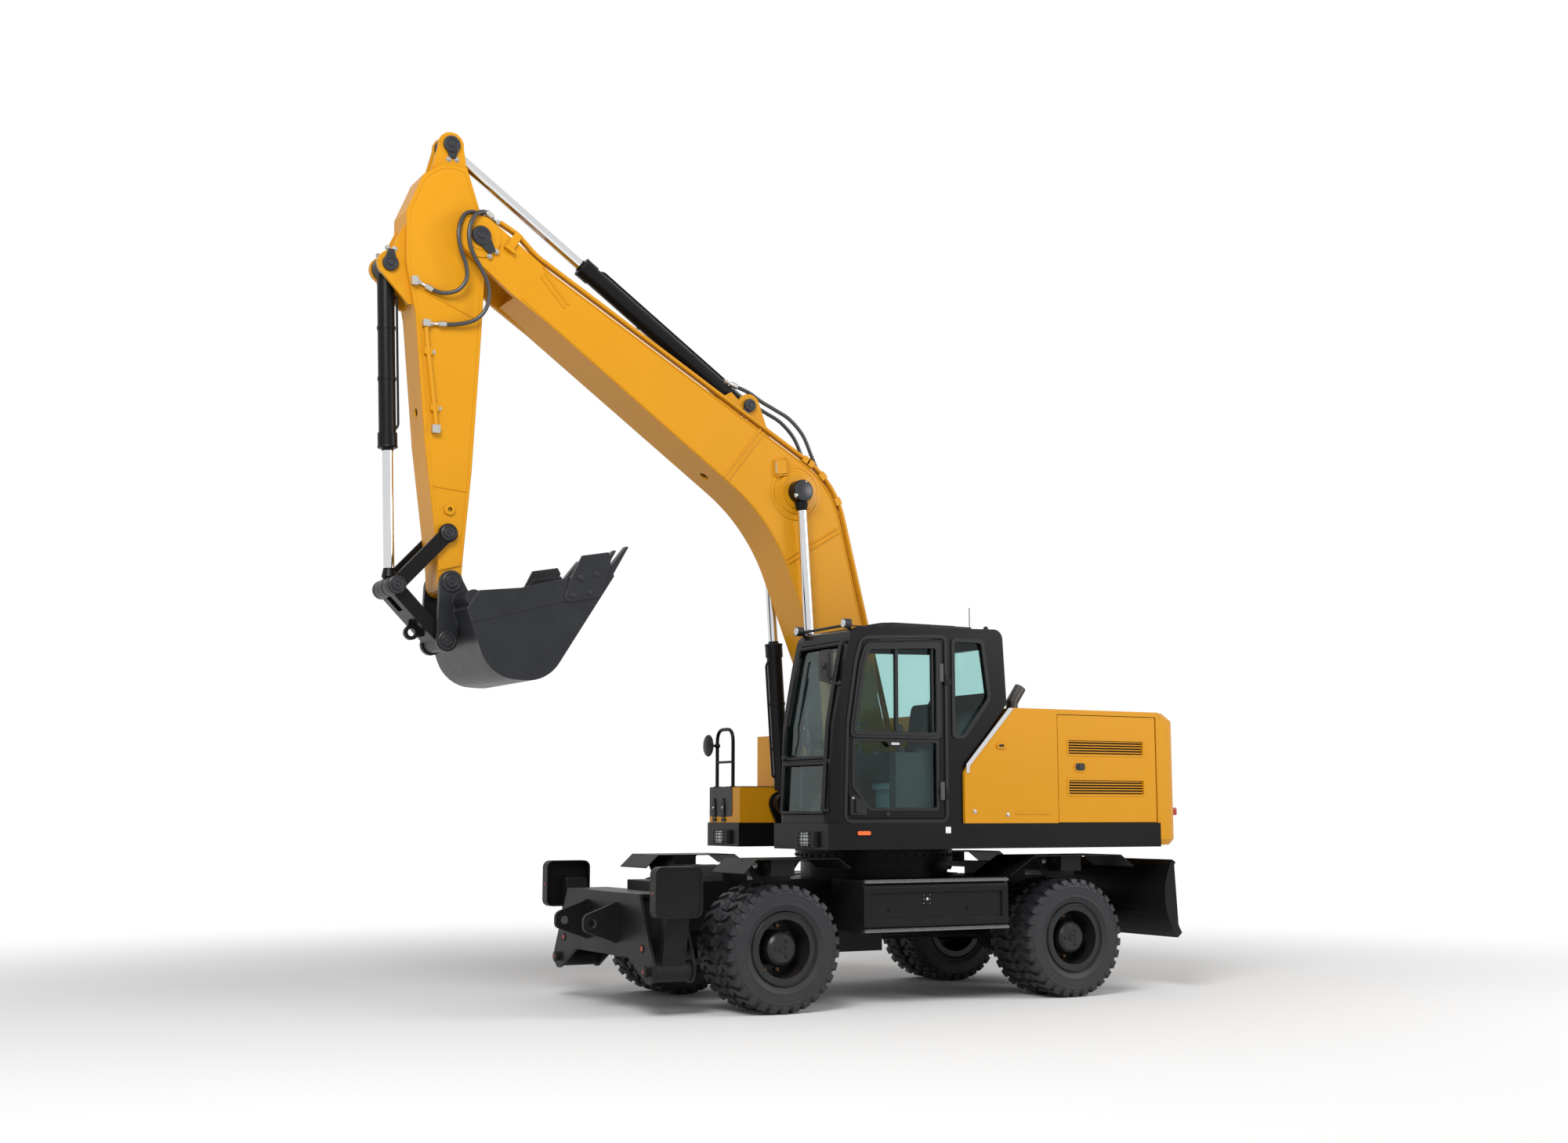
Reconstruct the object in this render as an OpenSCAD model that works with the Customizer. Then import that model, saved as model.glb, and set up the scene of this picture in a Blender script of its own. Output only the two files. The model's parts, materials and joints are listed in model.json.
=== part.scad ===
// Wheeled excavator: twin-tyred undercarriage with stabilizers and a blade,
// revolving upper with a cab, and a boom, stick and bucket moved by cylinders.
// +X is forward, +Y is left, +Z is up. Lengths in mm, heights above the ground.

/* [Wheels] */
// Distance between the axles
wheelbase = 2980; // [2900:1:3060]
// Front axle ahead of the slew axis
front_axle_x = 1620; // [1600:1:1640]
// Diameter of a tyre over its lugs
tyre_d = 1055; // [1030:1:1075]
// Number of lugs round a tyre
lugs = 30; // [26:2:30]
// Height of a lug
lug_h = 24; // [16:1:30]
// Width of a tyre
tyre_w = 278; // [260:1:290]
// Distance between the two tyres of a pair
twin_pitch = 325; // [300:1:335]
// Width over the outer tyres
overall_w = 2500; // [2480:1:2540]
// Radius of the rim under the tyre
rim_r = 254; // [250:1:260]
// Radius of the rim's flanges
flange_r = 298; // [285:1:305]
// Radius of the hub's end cap
hub_r = 135; // [110:1:150]
// Radius of the wheel spindles
spindle_r = 60; // [50:1:65]
// Steering axis inboard of the wheel's disc
kingpin_in = 228.5; // [220:0.5:235]
// Radius of a kingpin
kingpin_r = 30; // [25:1:34]

/* [Undercarriage] */
// Half width of the chassis box
frame_half_w = 330; // [310:1:340]
// Underside of the chassis box
frame_low = 640; // [635:1:660]
// Top of the chassis box
frame_top = 1060; // [1040:1:1080]
// Rear end of the chassis box, from the slew axis
frame_rear = 1750; // [1740:1:1780]
// Rear face of the stabilizer frame, from the slew axis
stab_x = 2345; // [2340:1:2350]
// Length of the stabilizer frame
stab_len = 385; // [380:1:400]
// Height of the stabilizer legs' pins
leg_pin_z = 367; // [350:1:380]
// Stabilizer pins from the middle
leg_pin_y = 960; // [950:1:970]
// Radius of the tow eyes
tow_eye_r = 35; // [25:1:40]
// Outer radius of the slew ring
ring_r = 720; // [690:1:740]
// Top of the slew ring
ring_top = 1330; // [1320:1:1340]
// Height of the blade's pivot
blade_pivot_z = 700; // [690:1:710]
// Blade pivot behind the slew axis
blade_pivot_x = 1560; // [1550:1:1570]
// Radius of the blade's hollow face
blade_r = 560; // [550:1:580]

/* [Upper] */
// Width of the upper structure
upper_w = 2500; // [2480:1:2510]
// Deck height
deck_z = 1550; // [1540:1:1560]
// Top of the hood
hood_top = 2576; // [2560:1:2600]
// Seam between hood and counterweight, behind the slew axis
cw_seam = 2375; // [2365:1:2385]
// Length of the counterweight at its middle
cw_len = 440; // [400:1:470]
// Front of the left platform, ahead of the slew axis
left_front = 1215; // [1205:1:1225]
// Front of the right platform
right_front = 1100; // [1080:1:1120]
// Thickness of hood panels and service doors
panel_t = 45; // [35:1:50]

/* [Cab] */
// Inner side of the cab, from the middle
cab_in = 300; // [295:1:320]
// Wall thickness of the cab
cab_wall = 55; // [45:1:60]
// Roof height at the back of the cab
cab_roof = 3278; // [3260:1:3300]
// Glass thickness
glass_t = 8; // [6:1:10]
// Rear edge of the door
door_rear = 20; // [10:1:30]

/* [Boom] */
// Boom plane to the right of the slew axis
boom_right = 150; // [145:1:155]
// Width of the boom
boom_w = 500; // [480:1:504]
// Thickness of the boom's plates
boom_plate = 20; // [12:1:30]
// Distance of each boom cylinder from the boom's plane
boom_cyl_y = 345; // [343:1:347]
// Radius of the boom cylinders
boom_cyl_r = 72; // [65:1:74]
// Radius of the foot pin
foot_pin_r = 65; // [55:1:75]

/* [Stick and bucket] */
// Width of the stick
stick_w = 350; // [330:1:354]
// Thickness of the stick's plates
stick_plate = 16; // [12:1:24]
// Radius of the pin between boom and stick
stick_pin_r = 60; // [50:1:70]
// Radius of the arm and bucket cylinders
arm_cyl_r = 82; // [76:1:88]
// Width of the bucket
bucket_w = 1130; // [1080:1:1180]
// Thickness of the bucket's plates
bucket_plate = 25; // [18:1:32]
// Radius of the bucket's pins
bucket_pin_r = 42; // [36:1:46]
// Number of bucket teeth
teeth = 5; // [4:1:6]

/* [Fits] */
// Clearance of a pin in its bore
fit = 0.3; // [0.2:0.1:0.5]
// Side gap beside a moving lug
side_gap = 5; // [5:1:8]

/* [Hidden] */
$fn = 64;

yellow = "#e3a728";
black = "#2b2b2d";
steel = "#c9cbcc";
rubber = "#1d1d1e";
glass = "#5d6a70";

axle_z = tyre_d / 2;
rear_axle_x = front_axle_x - wheelbase;
outer_tyre_y = overall_w / 2 - tyre_w / 2;
inner_tyre_y = outer_tyre_y - twin_pitch;
disc_y = (outer_tyre_y + inner_tyre_y) / 2;
spindle_end = disc_y + 55;
kingpin_y = disc_y - kingpin_in;
road_half = overall_w / 2;
upper_half = upper_w / 2;
boom_y = -boom_right;
stab_front = stab_x + stab_len;
stab_plate = 25;
tow_y = 310;
diff_r = 195;
tow_eye_x = stab_front + 220;
tow_eye_z = 725;
pedestal_top = 1200;

// Pins of the boom, stick and bucket as [x, z]
foot = [5, 1960];
stick_pin = [3980, 6543];
boom_rod_eye = [882, 4574];
boom_cyl_base = [690, 1730];
arm_base = [1316, 5372];
arm_eye = [4206, 7371];
bucket_base = [4725, 6230];
bucket_pin = [4152, 3548];
rocker_pin = [4186, 3960];
link_pin = [4615, 3500];
link_eye = [4181, 3056];
blade_cyl_base = [-frame_rear - 50, 985];
blade_cyl_eye = [-2320, 700];
blade_pivot = [-blade_pivot_x, blade_pivot_z];
blade_cyl_y = 200;

// The whole machine stands with the middle of its length at the origin
lug_r = 110;
reach_front = bucket_base[0] + lug_r;
reach_rear = cw_seam + cw_len;
middle_x = (reach_front - reach_rear) / 2;

function unit(v) = v / norm(v);
function left_normal(v) = [-v[1], v[0]] / norm(v);
// Points of an arc of radius r that rounds corner b between a and c
function fillet(a, b, c, r, n = 8) =
  let (u = unit(a - b), v = unit(c - b), half = acos(u * v) / 2,
       m = b + unit(u + v) * r / sin(half),
       p = b + u * r / tan(half) - m, q = b + v * r / tan(half) - m,
       start = atan2(p[1], p[0]),
       turn = (atan2(q[1], q[0]) - start + 540) % 360 - 180)
  [for (i = [0:n]) m + r * [cos(start + turn * i / n), sin(start + turn * i / n)]];
// A counter-clockwise outline moved inwards by d
function inset(p, d) =
  [for (i = [0:len(p) - 1])
    let (a = p[(i + len(p) - 1) % len(p)], b = p[i], c = p[(i + 1) % len(p)],
         m = left_normal(b - a), n = left_normal(c - b))
    b + d * (m + n) / (1 + m * n)];
// Points of an arc round m
function arc(m, r, from, to, n = 12) =
  [for (i = [0:n]) m + r * [cos(from + (to - from) * i / n), sin(from + (to - from) * i / n)]];
function rounded(w, h, r) = concat(
  arc([w - r, h - r], r, 0, 90, 6), arc([r, h - r], r, 90, 180, 6),
  arc([r, r], r, 180, 270, 6), arc([w - r, r], r, 270, 360, 6));

// Flat plate with an XZ outline, from y0 to y1
module plate(points, y0, y1) {
  translate([0, y1, 0]) rotate([90, 0, 0]) linear_extrude(y1 - y0) polygon(points);
}
// Flat plate with a YZ outline, from x0 to x1
module plate_x(points, x0, x1) {
  translate([x0, 0, 0]) rotate([90, 0, 90]) linear_extrude(x1 - x0) polygon(points);
}
// Round bar across the machine at [x, z], from y0 to y1
module bar(at, r, y0, y1) {
  translate([at[0], y1, at[1]]) rotate([90, 0, 0]) cylinder(r = r, h = y1 - y0);
}
// Round bar along the machine
module bar_x(y, z, r, x0, x1) {
  translate([x0, y, z]) rotate([0, 90, 0]) cylinder(r = r, h = x1 - x0);
}
module block(from, to) {
  translate(from) cube(to - from);
}
// Turns +Z to point from [x, z] a towards b, in the plane y
module along(a, b, y = 0) {
  translate([a[0], y, a[1]]) rotate([0, atan2(b[0] - a[0], b[1] - a[1]), 0]) children();
}
module both_sides() {
  children();
  mirror([0, 1, 0]) children();
}
module on_boom() {
  translate([0, boom_y, 0]) children();
}
// Every sub-part is drawn from the slew axis and stands about the middle of the machine
module place() {
  translate([-middle_x, 0, 0]) children();
}

module chassis_frame() {
  wall = 20;
  color(black) place() {
    difference() {
      union() {
        block([-frame_rear, -frame_half_w, frame_low], [stab_x, frame_half_w, frame_top]);
        block([-620, -700, 860], [620, 700, frame_top]);
      }
      block([-frame_rear + wall, -frame_half_w + wall, frame_low + wall],
        [stab_x - wall, frame_half_w - wall, frame_top - wall]);
      for (x = [front_axle_x, rear_axle_x]) bar([x, axle_z], diff_r + 15, -180, 180);
    }
    translate([0, 0, frame_top]) difference() {
      cylinder(r = ring_r - 40, h = pedestal_top - frame_top);
      translate([0, 0, -1]) cylinder(r = ring_r - 140, h = pedestal_top - frame_top + 2);
    }
    for (x = [front_axle_x, rear_axle_x])
      block([x - 120, -frame_half_w, frame_top], [x + 120, frame_half_w, 1180]);
    both_sides() {
      bar(blade_pivot, 35, frame_half_w, frame_half_w + 75);
      for (y = [blade_cyl_y - 55, blade_cyl_y + 40])
        plate([[-frame_rear, 900], [-frame_rear, 1050], [blade_cyl_base[0], 1035],
          [blade_cyl_base[0] - 45, blade_cyl_base[1]], [blade_cyl_base[0], 935]], y, y + 15);
      bar(blade_cyl_base, 25, blade_cyl_y - 55, blade_cyl_y + 55);
    }
  }
}

module slew_ring() {
  color(black) place() translate([0, 0, pedestal_top]) difference() {
    cylinder(r = ring_r, h = ring_top - fit - pedestal_top);
    translate([0, 0, -1]) cylinder(r = ring_r - 150, h = ring_top - pedestal_top + 2);
  }
}

// Axle housing: a bulged casing on the axle line, from the middle out to y
module axle_casing(y) {
  translate([0, 0, axle_z]) rotate([90, 0, 0]) rotate_extrude() polygon(concat(
    [[0, -y], [95, -y], [100, -330]], arc([0, 0], diff_r, -57, 57, 8), [[100, 330], [95, y], [0, y]]));
  both_sides() block([-110, 190, axle_z], [110, 330, frame_low]);
}

module front_axle() {
  yoke_h = 145;
  color(black) place() translate([front_axle_x, 0, 0]) {
    axle_casing(kingpin_y - 110);
    both_sides() difference() {
      translate([0, 0, axle_z]) {
        block([-75, kingpin_y - 120, -yoke_h], [75, kingpin_y - 80, yoke_h]);
        for (z = [-yoke_h, yoke_h - 45]) {
          block([-75, kingpin_y - 120, z], [75, kingpin_y, z + 45]);
          translate([0, kingpin_y, z]) cylinder(r = 75, h = 45);
        }
      }
      translate([0, kingpin_y, axle_z - yoke_h - 1]) cylinder(r = kingpin_r + fit, h = 2 * yoke_h + 2);
    }
  }
}

module rear_axle() {
  color(black) place() translate([rear_axle_x, 0, 0]) {
    axle_casing(kingpin_y + 65);
    both_sides() bar([0, axle_z], spindle_r, kingpin_y + 60, spindle_end);
  }
}

module driveline() {
  gearbox_low = 410;
  shaft_r = 45;
  color(black) place() {
    block([120, -330, gearbox_low], [580, 330, frame_low]);
    bar_x(0, axle_z, shaft_r, 580, front_axle_x - diff_r - fit);
    bar_x(0, axle_z, shaft_r, rear_axle_x + diff_r + fit, 120);
  }
}

module stabilizer_frame() {
  outline = concat([[-770, 980]], [[-leg_pin_y - 100, leg_pin_z + 60]],
    arc([-leg_pin_y, leg_pin_z], 100, 180, 290, 6), [[-560, 458], [560, 458]],
    arc([leg_pin_y, leg_pin_z], 100, 250, 360, 6), [[leg_pin_y + 100, leg_pin_z + 60], [770, 980]]);
  tow = concat([[stab_front, 900], [stab_front, 560]], fillet([stab_front, 560], [tow_eye_x + 80, 665],
    [tow_eye_x + 80, 790], 50, 4), fillet([tow_eye_x + 80, 665], [tow_eye_x + 80, 790], [stab_front, 900], 60, 4));
  color(black) place() {
    plate_x(outline, stab_x, stab_x + stab_plate);
    plate_x(outline, stab_front - stab_plate, stab_front);
    block([stab_x, -770, 955], [stab_front, 770, 980]);
    block([stab_x, -560, 458], [stab_front, 560, 483]);
    both_sides() {
      block([stab_x, 700, 483], [stab_front, 725, 955]);
      bar_x(leg_pin_y, leg_pin_z, 35, stab_x - 5, stab_front + 25);
      difference() {
        plate(tow, tow_y - 20, tow_y + 20);
        bar([tow_eye_x, tow_eye_z], tow_eye_r, tow_y - 21, tow_y + 21);
      }
    }
  }
}

guard_in = road_half - 585;
// Mudguard sheet over one pair of wheels, with an XZ centre line of points
module mudguard(points) {
  lowered = [for (i = [len(points) - 1:-1:0]) points[i] - [0, 8]];
  plate(concat(points, lowered), guard_in, road_half - 5);
}

module fenders() {
  top = 1262;
  color(black) place() both_sides() {
    mudguard([[990, 1180], [1110, top], [1890, top], [2010, 1150]]);
    mudguard([[-2040, 1160], [-1900, top], [-930, top], [-650, 1090]]);
    for (x = [front_axle_x, rear_axle_x])
      block([x - 110, frame_half_w, 1120], [x + 110, guard_in + 5, 1175]);
    for (x = [front_axle_x, rear_axle_x])
      block([x - 110, guard_in, 1120], [x + 110, road_half - 50, top - 8]);
  }
}

module step_boxes() {
  color(black) place() both_sides() difference() {
    plate_x([[700, 640], [road_half - 50, 630], [road_half, 680], [road_half, 1010], [road_half - 35, 1070],
      [700, 1070]], -620, 865);
    block([-560, road_half - 18, 740], [805, road_half + 1, 965]);
  }
}

module knuckle() {
  color(black) {
    translate([0, kingpin_y, axle_z - 97]) cylinder(r = 68, h = 194);
    translate([0, kingpin_y, axle_z - 145]) cylinder(r = kingpin_r, h = 290);
    bar([0, axle_z], spindle_r, kingpin_y, spindle_end);
  }
}
module knuckle_left() { place() translate([front_axle_x, 0, 0]) knuckle(); }
module knuckle_right() { place() translate([front_axle_x, 0, 0]) mirror([0, 1, 0]) knuckle(); }

// Tyre with its axis on Y: a faceted carcass, one facet to every two lugs, under a toothed tread.
// Its points run ring by ring on the right side, then on the left.
facets = lugs / 2;
lug_pitch = 360 / lugs;
lug_foot = 0.36 * lug_pitch;
lug_top = 0.29 * lug_pitch;
function spot(r, turn, y) = [r * cos(turn), y, r * sin(turn)];
function ring(r, y) = [for (k = [0:facets - 1]) spot(r, 2 * k * lug_pitch - lug_foot - 90, y)];
function toothed(y) = [for (i = [0:lugs - 1], side = [-1, 1], at = side < 0 ? [0, 1] : [1, 0])
  at == 0 ? spot(tyre_d / 2 - lug_h, i * lug_pitch + side * lug_foot - 90, y)
    : spot(tyre_d / 2 / cos(lug_top), i * lug_pitch + side * lug_top - 90, y)];
function tyre_side(s) = let (round = 1 / cos(180 / facets), half = tyre_w / 2) concat(
  ring((rim_r + fit) * round, s * 104), ring((flange_r + 3) * round, s * 104),
  ring(422, s * half), ring(470, s * (half - 10)), toothed(s * (half - 10)));
function turned(face, flip) = flip ? [for (i = [len(face) - 1:-1:0]) face[i]] : face;
module tyre() {
  points = concat(tyre_side(-1), tyre_side(1));
  left = len(points) / 2;
  tread = 4 * facets;
  sides = [for (s = [0, 1], k = [0:facets - 1]) each let (from = s * left, next = (k + 1) % facets) concat(
    [for (r = [0:2]) turned([from + r * facets + k, from + (r + 1) * facets + k,
      from + (r + 1) * facets + next, from + r * facets + next], s == 0)],
    [turned(concat([from + 3 * facets + k], [for (j = [0:8]) from + tread + (8 * k + j) % (4 * lugs)],
      [from + 3 * facets + next]), s == 0)])];
  bore = [for (k = [0:facets - 1]) let (next = (k + 1) % facets) [left + k, left + next, next, k]];
  teeth_faces = [for (j = [0:4 * lugs - 1]) let (next = (j + 1) % (4 * lugs))
    [left + tread + next, left + tread + j, tread + j, tread + next]];
  polyhedron(points, concat(sides, bore, teeth_faces));
}
module tyre_pair() {
  color(rubber) for (y = [inner_tyre_y, outer_tyre_y]) translate([0, y, axle_z]) tyre();
}

// Rims of a pair on one hub, with the planetary hub and its end cap
module rim_pair() {
  barrel_in = inner_tyre_y - 118;
  barrel_out = outer_tyre_y + 118;
  cap_y = outer_tyre_y + 85;
  color(black) translate([0, 0, axle_z]) difference() {
    union() {
      rotate([-90, 0, 0]) rotate_extrude() polygon([[rim_r - 14, barrel_in], [rim_r, barrel_in],
        [rim_r, barrel_out], [rim_r - 14, barrel_out], [rim_r - 14, disc_y + 15],
        [hub_r, disc_y + 15], [hub_r, disc_y - 15], [rim_r - 14, disc_y - 15]]);
      for (y = [inner_tyre_y, outer_tyre_y])
        rotate([-90, 0, 0]) rotate_extrude() for (s = [-1, 1])
          translate([rim_r - 5, y + s * 111.5 - 6.5]) square([flange_r - rim_r + 5, 13]);
      rotate([-90, 0, 0]) rotate_extrude() polygon([[0, kingpin_y + 85], [110, kingpin_y + 85],
        [115, disc_y - 30], [hub_r + 12, disc_y - 15], [hub_r + 12, cap_y - 60], [hub_r, cap_y - 20],
        [hub_r - 25, cap_y], [0, cap_y]]);
    }
    rotate([-90, 0, 0]) cylinder(r = spindle_r + fit, h = spindle_end + 2);
  }
}
module left_at(x) { place() translate([x, 0, 0]) children(); }
module right_at(x) { place() translate([x, 0, 0]) mirror([0, 1, 0]) children(); }
module tyres_front_left() { left_at(front_axle_x) tyre_pair(); }
module rims_front_left() { left_at(front_axle_x) rim_pair(); }
module tyres_front_right() { right_at(front_axle_x) tyre_pair(); }
module rims_front_right() { right_at(front_axle_x) rim_pair(); }
module tyres_rear_left() { left_at(rear_axle_x) tyre_pair(); }
module rims_rear_left() { left_at(rear_axle_x) rim_pair(); }
module tyres_rear_right() { right_at(rear_axle_x) tyre_pair(); }
module rims_rear_right() { right_at(rear_axle_x) rim_pair(); }

module blade() {
  sheet = 45;
  centre = [-2450 - blade_r, 880];
  arm_y = frame_half_w + side_gap + 10;
  color(black) place() {
    plate(concat(arc(centre, blade_r, 33, -40), arc(centre, blade_r + sheet, -40, 33)),
      -upper_half, upper_half);
    both_sides() {
      plate(arc(centre, blade_r + sheet / 2, -40, 33), upper_half - 20, upper_half);
      difference() {
        union() {
          plate([blade_pivot + [0, 70], blade_pivot - [0, 70], [-2425, 620], [-2415, 820]], arm_y, arm_y + 50);
          bar(blade_pivot, 70, arm_y, arm_y + 50);
        }
        bar(blade_pivot, 35 + fit, arm_y - 1, arm_y + 51);
      }
      for (y = [blade_cyl_y - 55, blade_cyl_y + 40])
        plate([[-2418, 800], [-2330, 755], [-2275, 700], [-2330, 645], [-2418, 600]], y, y + 15);
    }
  }
}

module blade_barrels() {
  len = 400;
  start = 75;
  color(black) place() for (y = [-blade_cyl_y, blade_cyl_y]) difference() {
    union() {
      bar(blade_cyl_base, 45, y - 35, y + 35);
      along(blade_cyl_base, blade_cyl_eye, y) {
        cylinder(r = 34, h = start + 1);
        translate([0, 0, start]) cylinder(r = 48, h = len - start);
      }
    }
    bar(blade_cyl_base, 25 + fit, y - 36, y + 36);
    along(blade_cyl_base, blade_cyl_eye, y) translate([0, 0, start + 15]) cylinder(r = 30 + fit, h = len);
  }
}

module blade_rods() {
  span = norm(blade_cyl_eye - blade_cyl_base);
  color(steel) place() for (y = [-blade_cyl_y, blade_cyl_y]) {
    along(blade_cyl_base, blade_cyl_eye, y) translate([0, 0, 220]) cylinder(r = 30, h = span - 220);
    bar(blade_cyl_eye, 42, y - 35, y + 35);
  }
}

module outrigger() {
  gap = stab_plate + side_gap;
  color(black) {
    difference() {
      union() {
        bar_x(leg_pin_y, leg_pin_z, 85, stab_x + gap, stab_front - gap);
        plate_x([[leg_pin_y - 65, leg_pin_z], [leg_pin_y + 65, leg_pin_z], [1150, 960], [1150, 1060],
          [1040, 1060], [1010, 960]], stab_x + 90, stab_front - 90);
      }
      bar_x(leg_pin_y, leg_pin_z, 35 + fit, stab_x, stab_front);
    }
    block([stab_x + 130, 1140, 930], [stab_front - 130, 1190, 1080]);
    translate([stab_x + 25, 1115, 800]) difference() {
      plate(rounded(420, 410, 60), 0, 110);
      translate([14, 0, 14]) plate(rounded(392, 382, 46), -1, 82);
    }
  }
}
module outrigger_left() { place() outrigger(); }
module outrigger_right() { place() mirror([0, 1, 0]) outrigger(); }

// Plan of the upper frame, with the slot for the boom between the platforms
slot_left = cab_in;
slot_right = boom_y - boom_cyl_y - 105;
slot_back = 640;
upper_plan = [[-cw_seam, -upper_half], [right_front, -upper_half], [right_front, slot_right],
  [slot_back, slot_right], [slot_back, slot_left], [left_front, slot_left], [left_front, upper_half],
  [-cw_seam, upper_half]];
bracket_t = 38;
bracket_in = boom_w / 2 + side_gap;
eye_half = 50;

module upper_frame() {
  sill = 40;
  ear_in = boom_cyl_y + eye_half + 2;
  bracket = concat([[-620, deck_z - 1], [-620, 1400], [slot_back, 1400], [slot_back + 130, 1640]],
    arc(boom_cyl_base, 110, -20, 110, 6), arc(foot, 170, 20, 170, 8));
  ear = concat([[slot_back - 140, 1400], [slot_back, 1400], [slot_back + 130, 1640]],
    arc(boom_cyl_base, 110, -20, 160, 8));
  color(black) place() {
    translate([0, 0, deck_z - 25]) linear_extrude(25) polygon(upper_plan);
    translate([0, 0, ring_top]) linear_extrude(deck_z - ring_top) difference() {
      polygon(upper_plan);
      polygon(inset(upper_plan, sill));
    }
    translate([0, 0, ring_top]) cylinder(r = ring_r, h = 40);
    on_boom() {
      for (s = [-1, 1]) {
        beam_y = s * (bracket_in + bracket_t / 2);
        block([-cw_seam + 20, beam_y - 19, ring_top], [slot_back - 5, beam_y + 19, deck_z - 10]);
        plate(bracket, beam_y - bracket_t / 2, beam_y + bracket_t / 2);
        ear_y = s * (ear_in + 14);
        plate(ear, ear_y - 14, ear_y + 14);
        bar(boom_cyl_base, 45, min(beam_y, ear_y), max(beam_y, ear_y));
      }
      bar(foot, foot_pin_r, -bracket_in - bracket_t, bracket_in + bracket_t);
    }
  }
}

// Plan outline of the counterweight, shrunk by d all round but its front
function cw_plan(d) = concat([[-cw_seam, -upper_half + d]],
  fillet([-cw_seam, -upper_half + d], [-cw_seam - 230 + d, -upper_half + d], [-cw_seam - cw_len + d, 0], 200, 6),
  [[-cw_seam - cw_len + d + 35, -350], [-cw_seam - cw_len + d, -100], [-cw_seam - cw_len + d, 100],
   [-cw_seam - cw_len + d + 35, 350]],
  fillet([-cw_seam - cw_len + d, 0], [-cw_seam - 230 + d, upper_half - d], [-cw_seam, upper_half - d], 200, 6),
  [[-cw_seam, upper_half - d]]);

module counterweight() {
  color(yellow) place() hull() {
    translate([0, 0, 1346]) linear_extrude(1) polygon(cw_plan(30));
    translate([0, 0, 1400]) linear_extrude(1100) polygon(cw_plan(0));
    translate([0, 0, hood_top - 2]) linear_extrude(1) polygon(cw_plan(60));
  }
}

// Hood: seams of the left side, from the front
seam_front = -175;
seam_1 = -665;
seam_2 = -1193;
hood_front = -700;
panel_gap = 6;
lid_from = [-2290, -800];
lid_to = [-1180, 540];

// Doors turn on upright pins in their rear ends, the lid on barrels at its front edge
hinge_pin_r = 8;
door_axis_x = -cw_seam + 66;
door_axis_y = upper_half - panel_t / 2;
pin_len = 25;
lid_axis = [lid_to[0], hood_top + 22];
lid_barrel_y = [-560, 240];

module hood_body() {
  in = upper_half - panel_t;
  side = [[seam_front, deck_z], [seam_front, 1990], [-235, 2080], [hood_front, hood_top], [seam_1 - 40, hood_top],
    [seam_2, hood_top], [seam_2, deck_z]];
  wall = [[hood_front, deck_z], [hood_front, hood_top - panel_t], [hood_front - panel_t, hood_top - panel_t],
    [hood_front - panel_t, deck_z]];
  color(yellow) place() {
    difference() {
      block([-cw_seam, -upper_half, hood_top - panel_t], [hood_front, upper_half, hood_top]);
      block([lid_from[0], lid_from[1], hood_top - panel_t - 1], [lid_to[0], lid_to[1], hood_top + 1]);
    }
    plate(side, in, upper_half);
    plate(wall, -in, in);
    block([-1250, -upper_half, deck_z], [hood_front, -in, hood_top - panel_t]);
    both_sides() {
      block([-cw_seam, in, deck_z], [-cw_seam + 30, upper_half, hood_top - panel_t]);
      for (z = [deck_z, hood_top - panel_t - panel_gap - pin_len])
        translate([door_axis_x, door_axis_y, z]) cylinder(r = hinge_pin_r, h = panel_gap + pin_len);
    }
    for (y = lid_barrel_y) {
      for (s = [-1, 1]) {
        block([lid_to[0], y + s * 36 - 10, hood_top], [lid_to[0] + 40, y + s * 36 + 10, lid_axis[1] + 14]);
        bar(lid_axis, 14, y + s * 36 - 10, y + s * 36 + 10);
      }
      bar(lid_axis, hinge_pin_r, y - 36, y + 36);
    }
  }
}

module engine_hood() {
  g = panel_gap;
  color(yellow) place() {
    difference() {
      union() {
        block([lid_from[0] + g, lid_from[1] + g, hood_top - panel_t], [lid_to[0] - g, lid_to[1] - g, hood_top]);
        for (y = lid_barrel_y) {
          bar(lid_axis, 15, y - 20, y + 20);
          block([lid_to[0] - 60, y - 20, hood_top - 1], [lid_to[0] - 6, y + 20, lid_axis[1]]);
        }
      }
      for (y = lid_barrel_y) bar(lid_axis, hinge_pin_r + fit, y - 21, y + 21);
    }
  }
}

// Air grilles of the service doors: level slats in two openings
grille_x = [-2180, -1317];
grille_z = [[1812, 1935], [2175, 2297]];
slat_t = 10;
slat_pitch = 24;
module service_door(x1) {
  low = deck_z + panel_gap;
  high = hood_top - panel_t - panel_gap;
  color(yellow) {
    difference() {
      block([door_axis_x - 20, upper_half - panel_t, low], [x1 - panel_gap, upper_half, high]);
      for (z = [low - 1, high - pin_len - 1])
        translate([door_axis_x, door_axis_y, z]) cylinder(r = hinge_pin_r + fit, h = pin_len + 2);
      for (g = grille_z)
        block([grille_x[0], upper_half - panel_t - 1, g[0]], [grille_x[1], upper_half + 1, g[1]]);
    }
    for (g = grille_z, z = [g[0] + slat_pitch / 2:slat_pitch:g[1] - slat_pitch / 2])
      block([grille_x[0] - 1, upper_half - panel_t + 6, z], [grille_x[1] + 1, upper_half - 6, z + slat_t]);
  }
}
module left_service_door() { place() service_door(seam_2); }
module right_service_door() { place() mirror([0, 1, 0]) service_door(-1250); }

module engine() {
  color("#4a4d50") place() {
    block([-2100, -650, deck_z], [-1300, 500, hood_top - 326]);
    block([-1980, -350, hood_top - 326], [-1420, 250, hood_top - 156]);
  }
}

module tanks() {
  tank_top = 2440;
  color(yellow) place() {
    block([-640, -upper_half, deck_z], [-60, slot_right - 20, tank_top]);
    block([-50, -upper_half, deck_z], [560, slot_right - 20, tank_top - 60]);
  }
}

module tool_box() {
  color(yellow) place() block([600, -upper_half, deck_z], [right_front - 20, slot_right - 20, 1880]);
}

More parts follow.
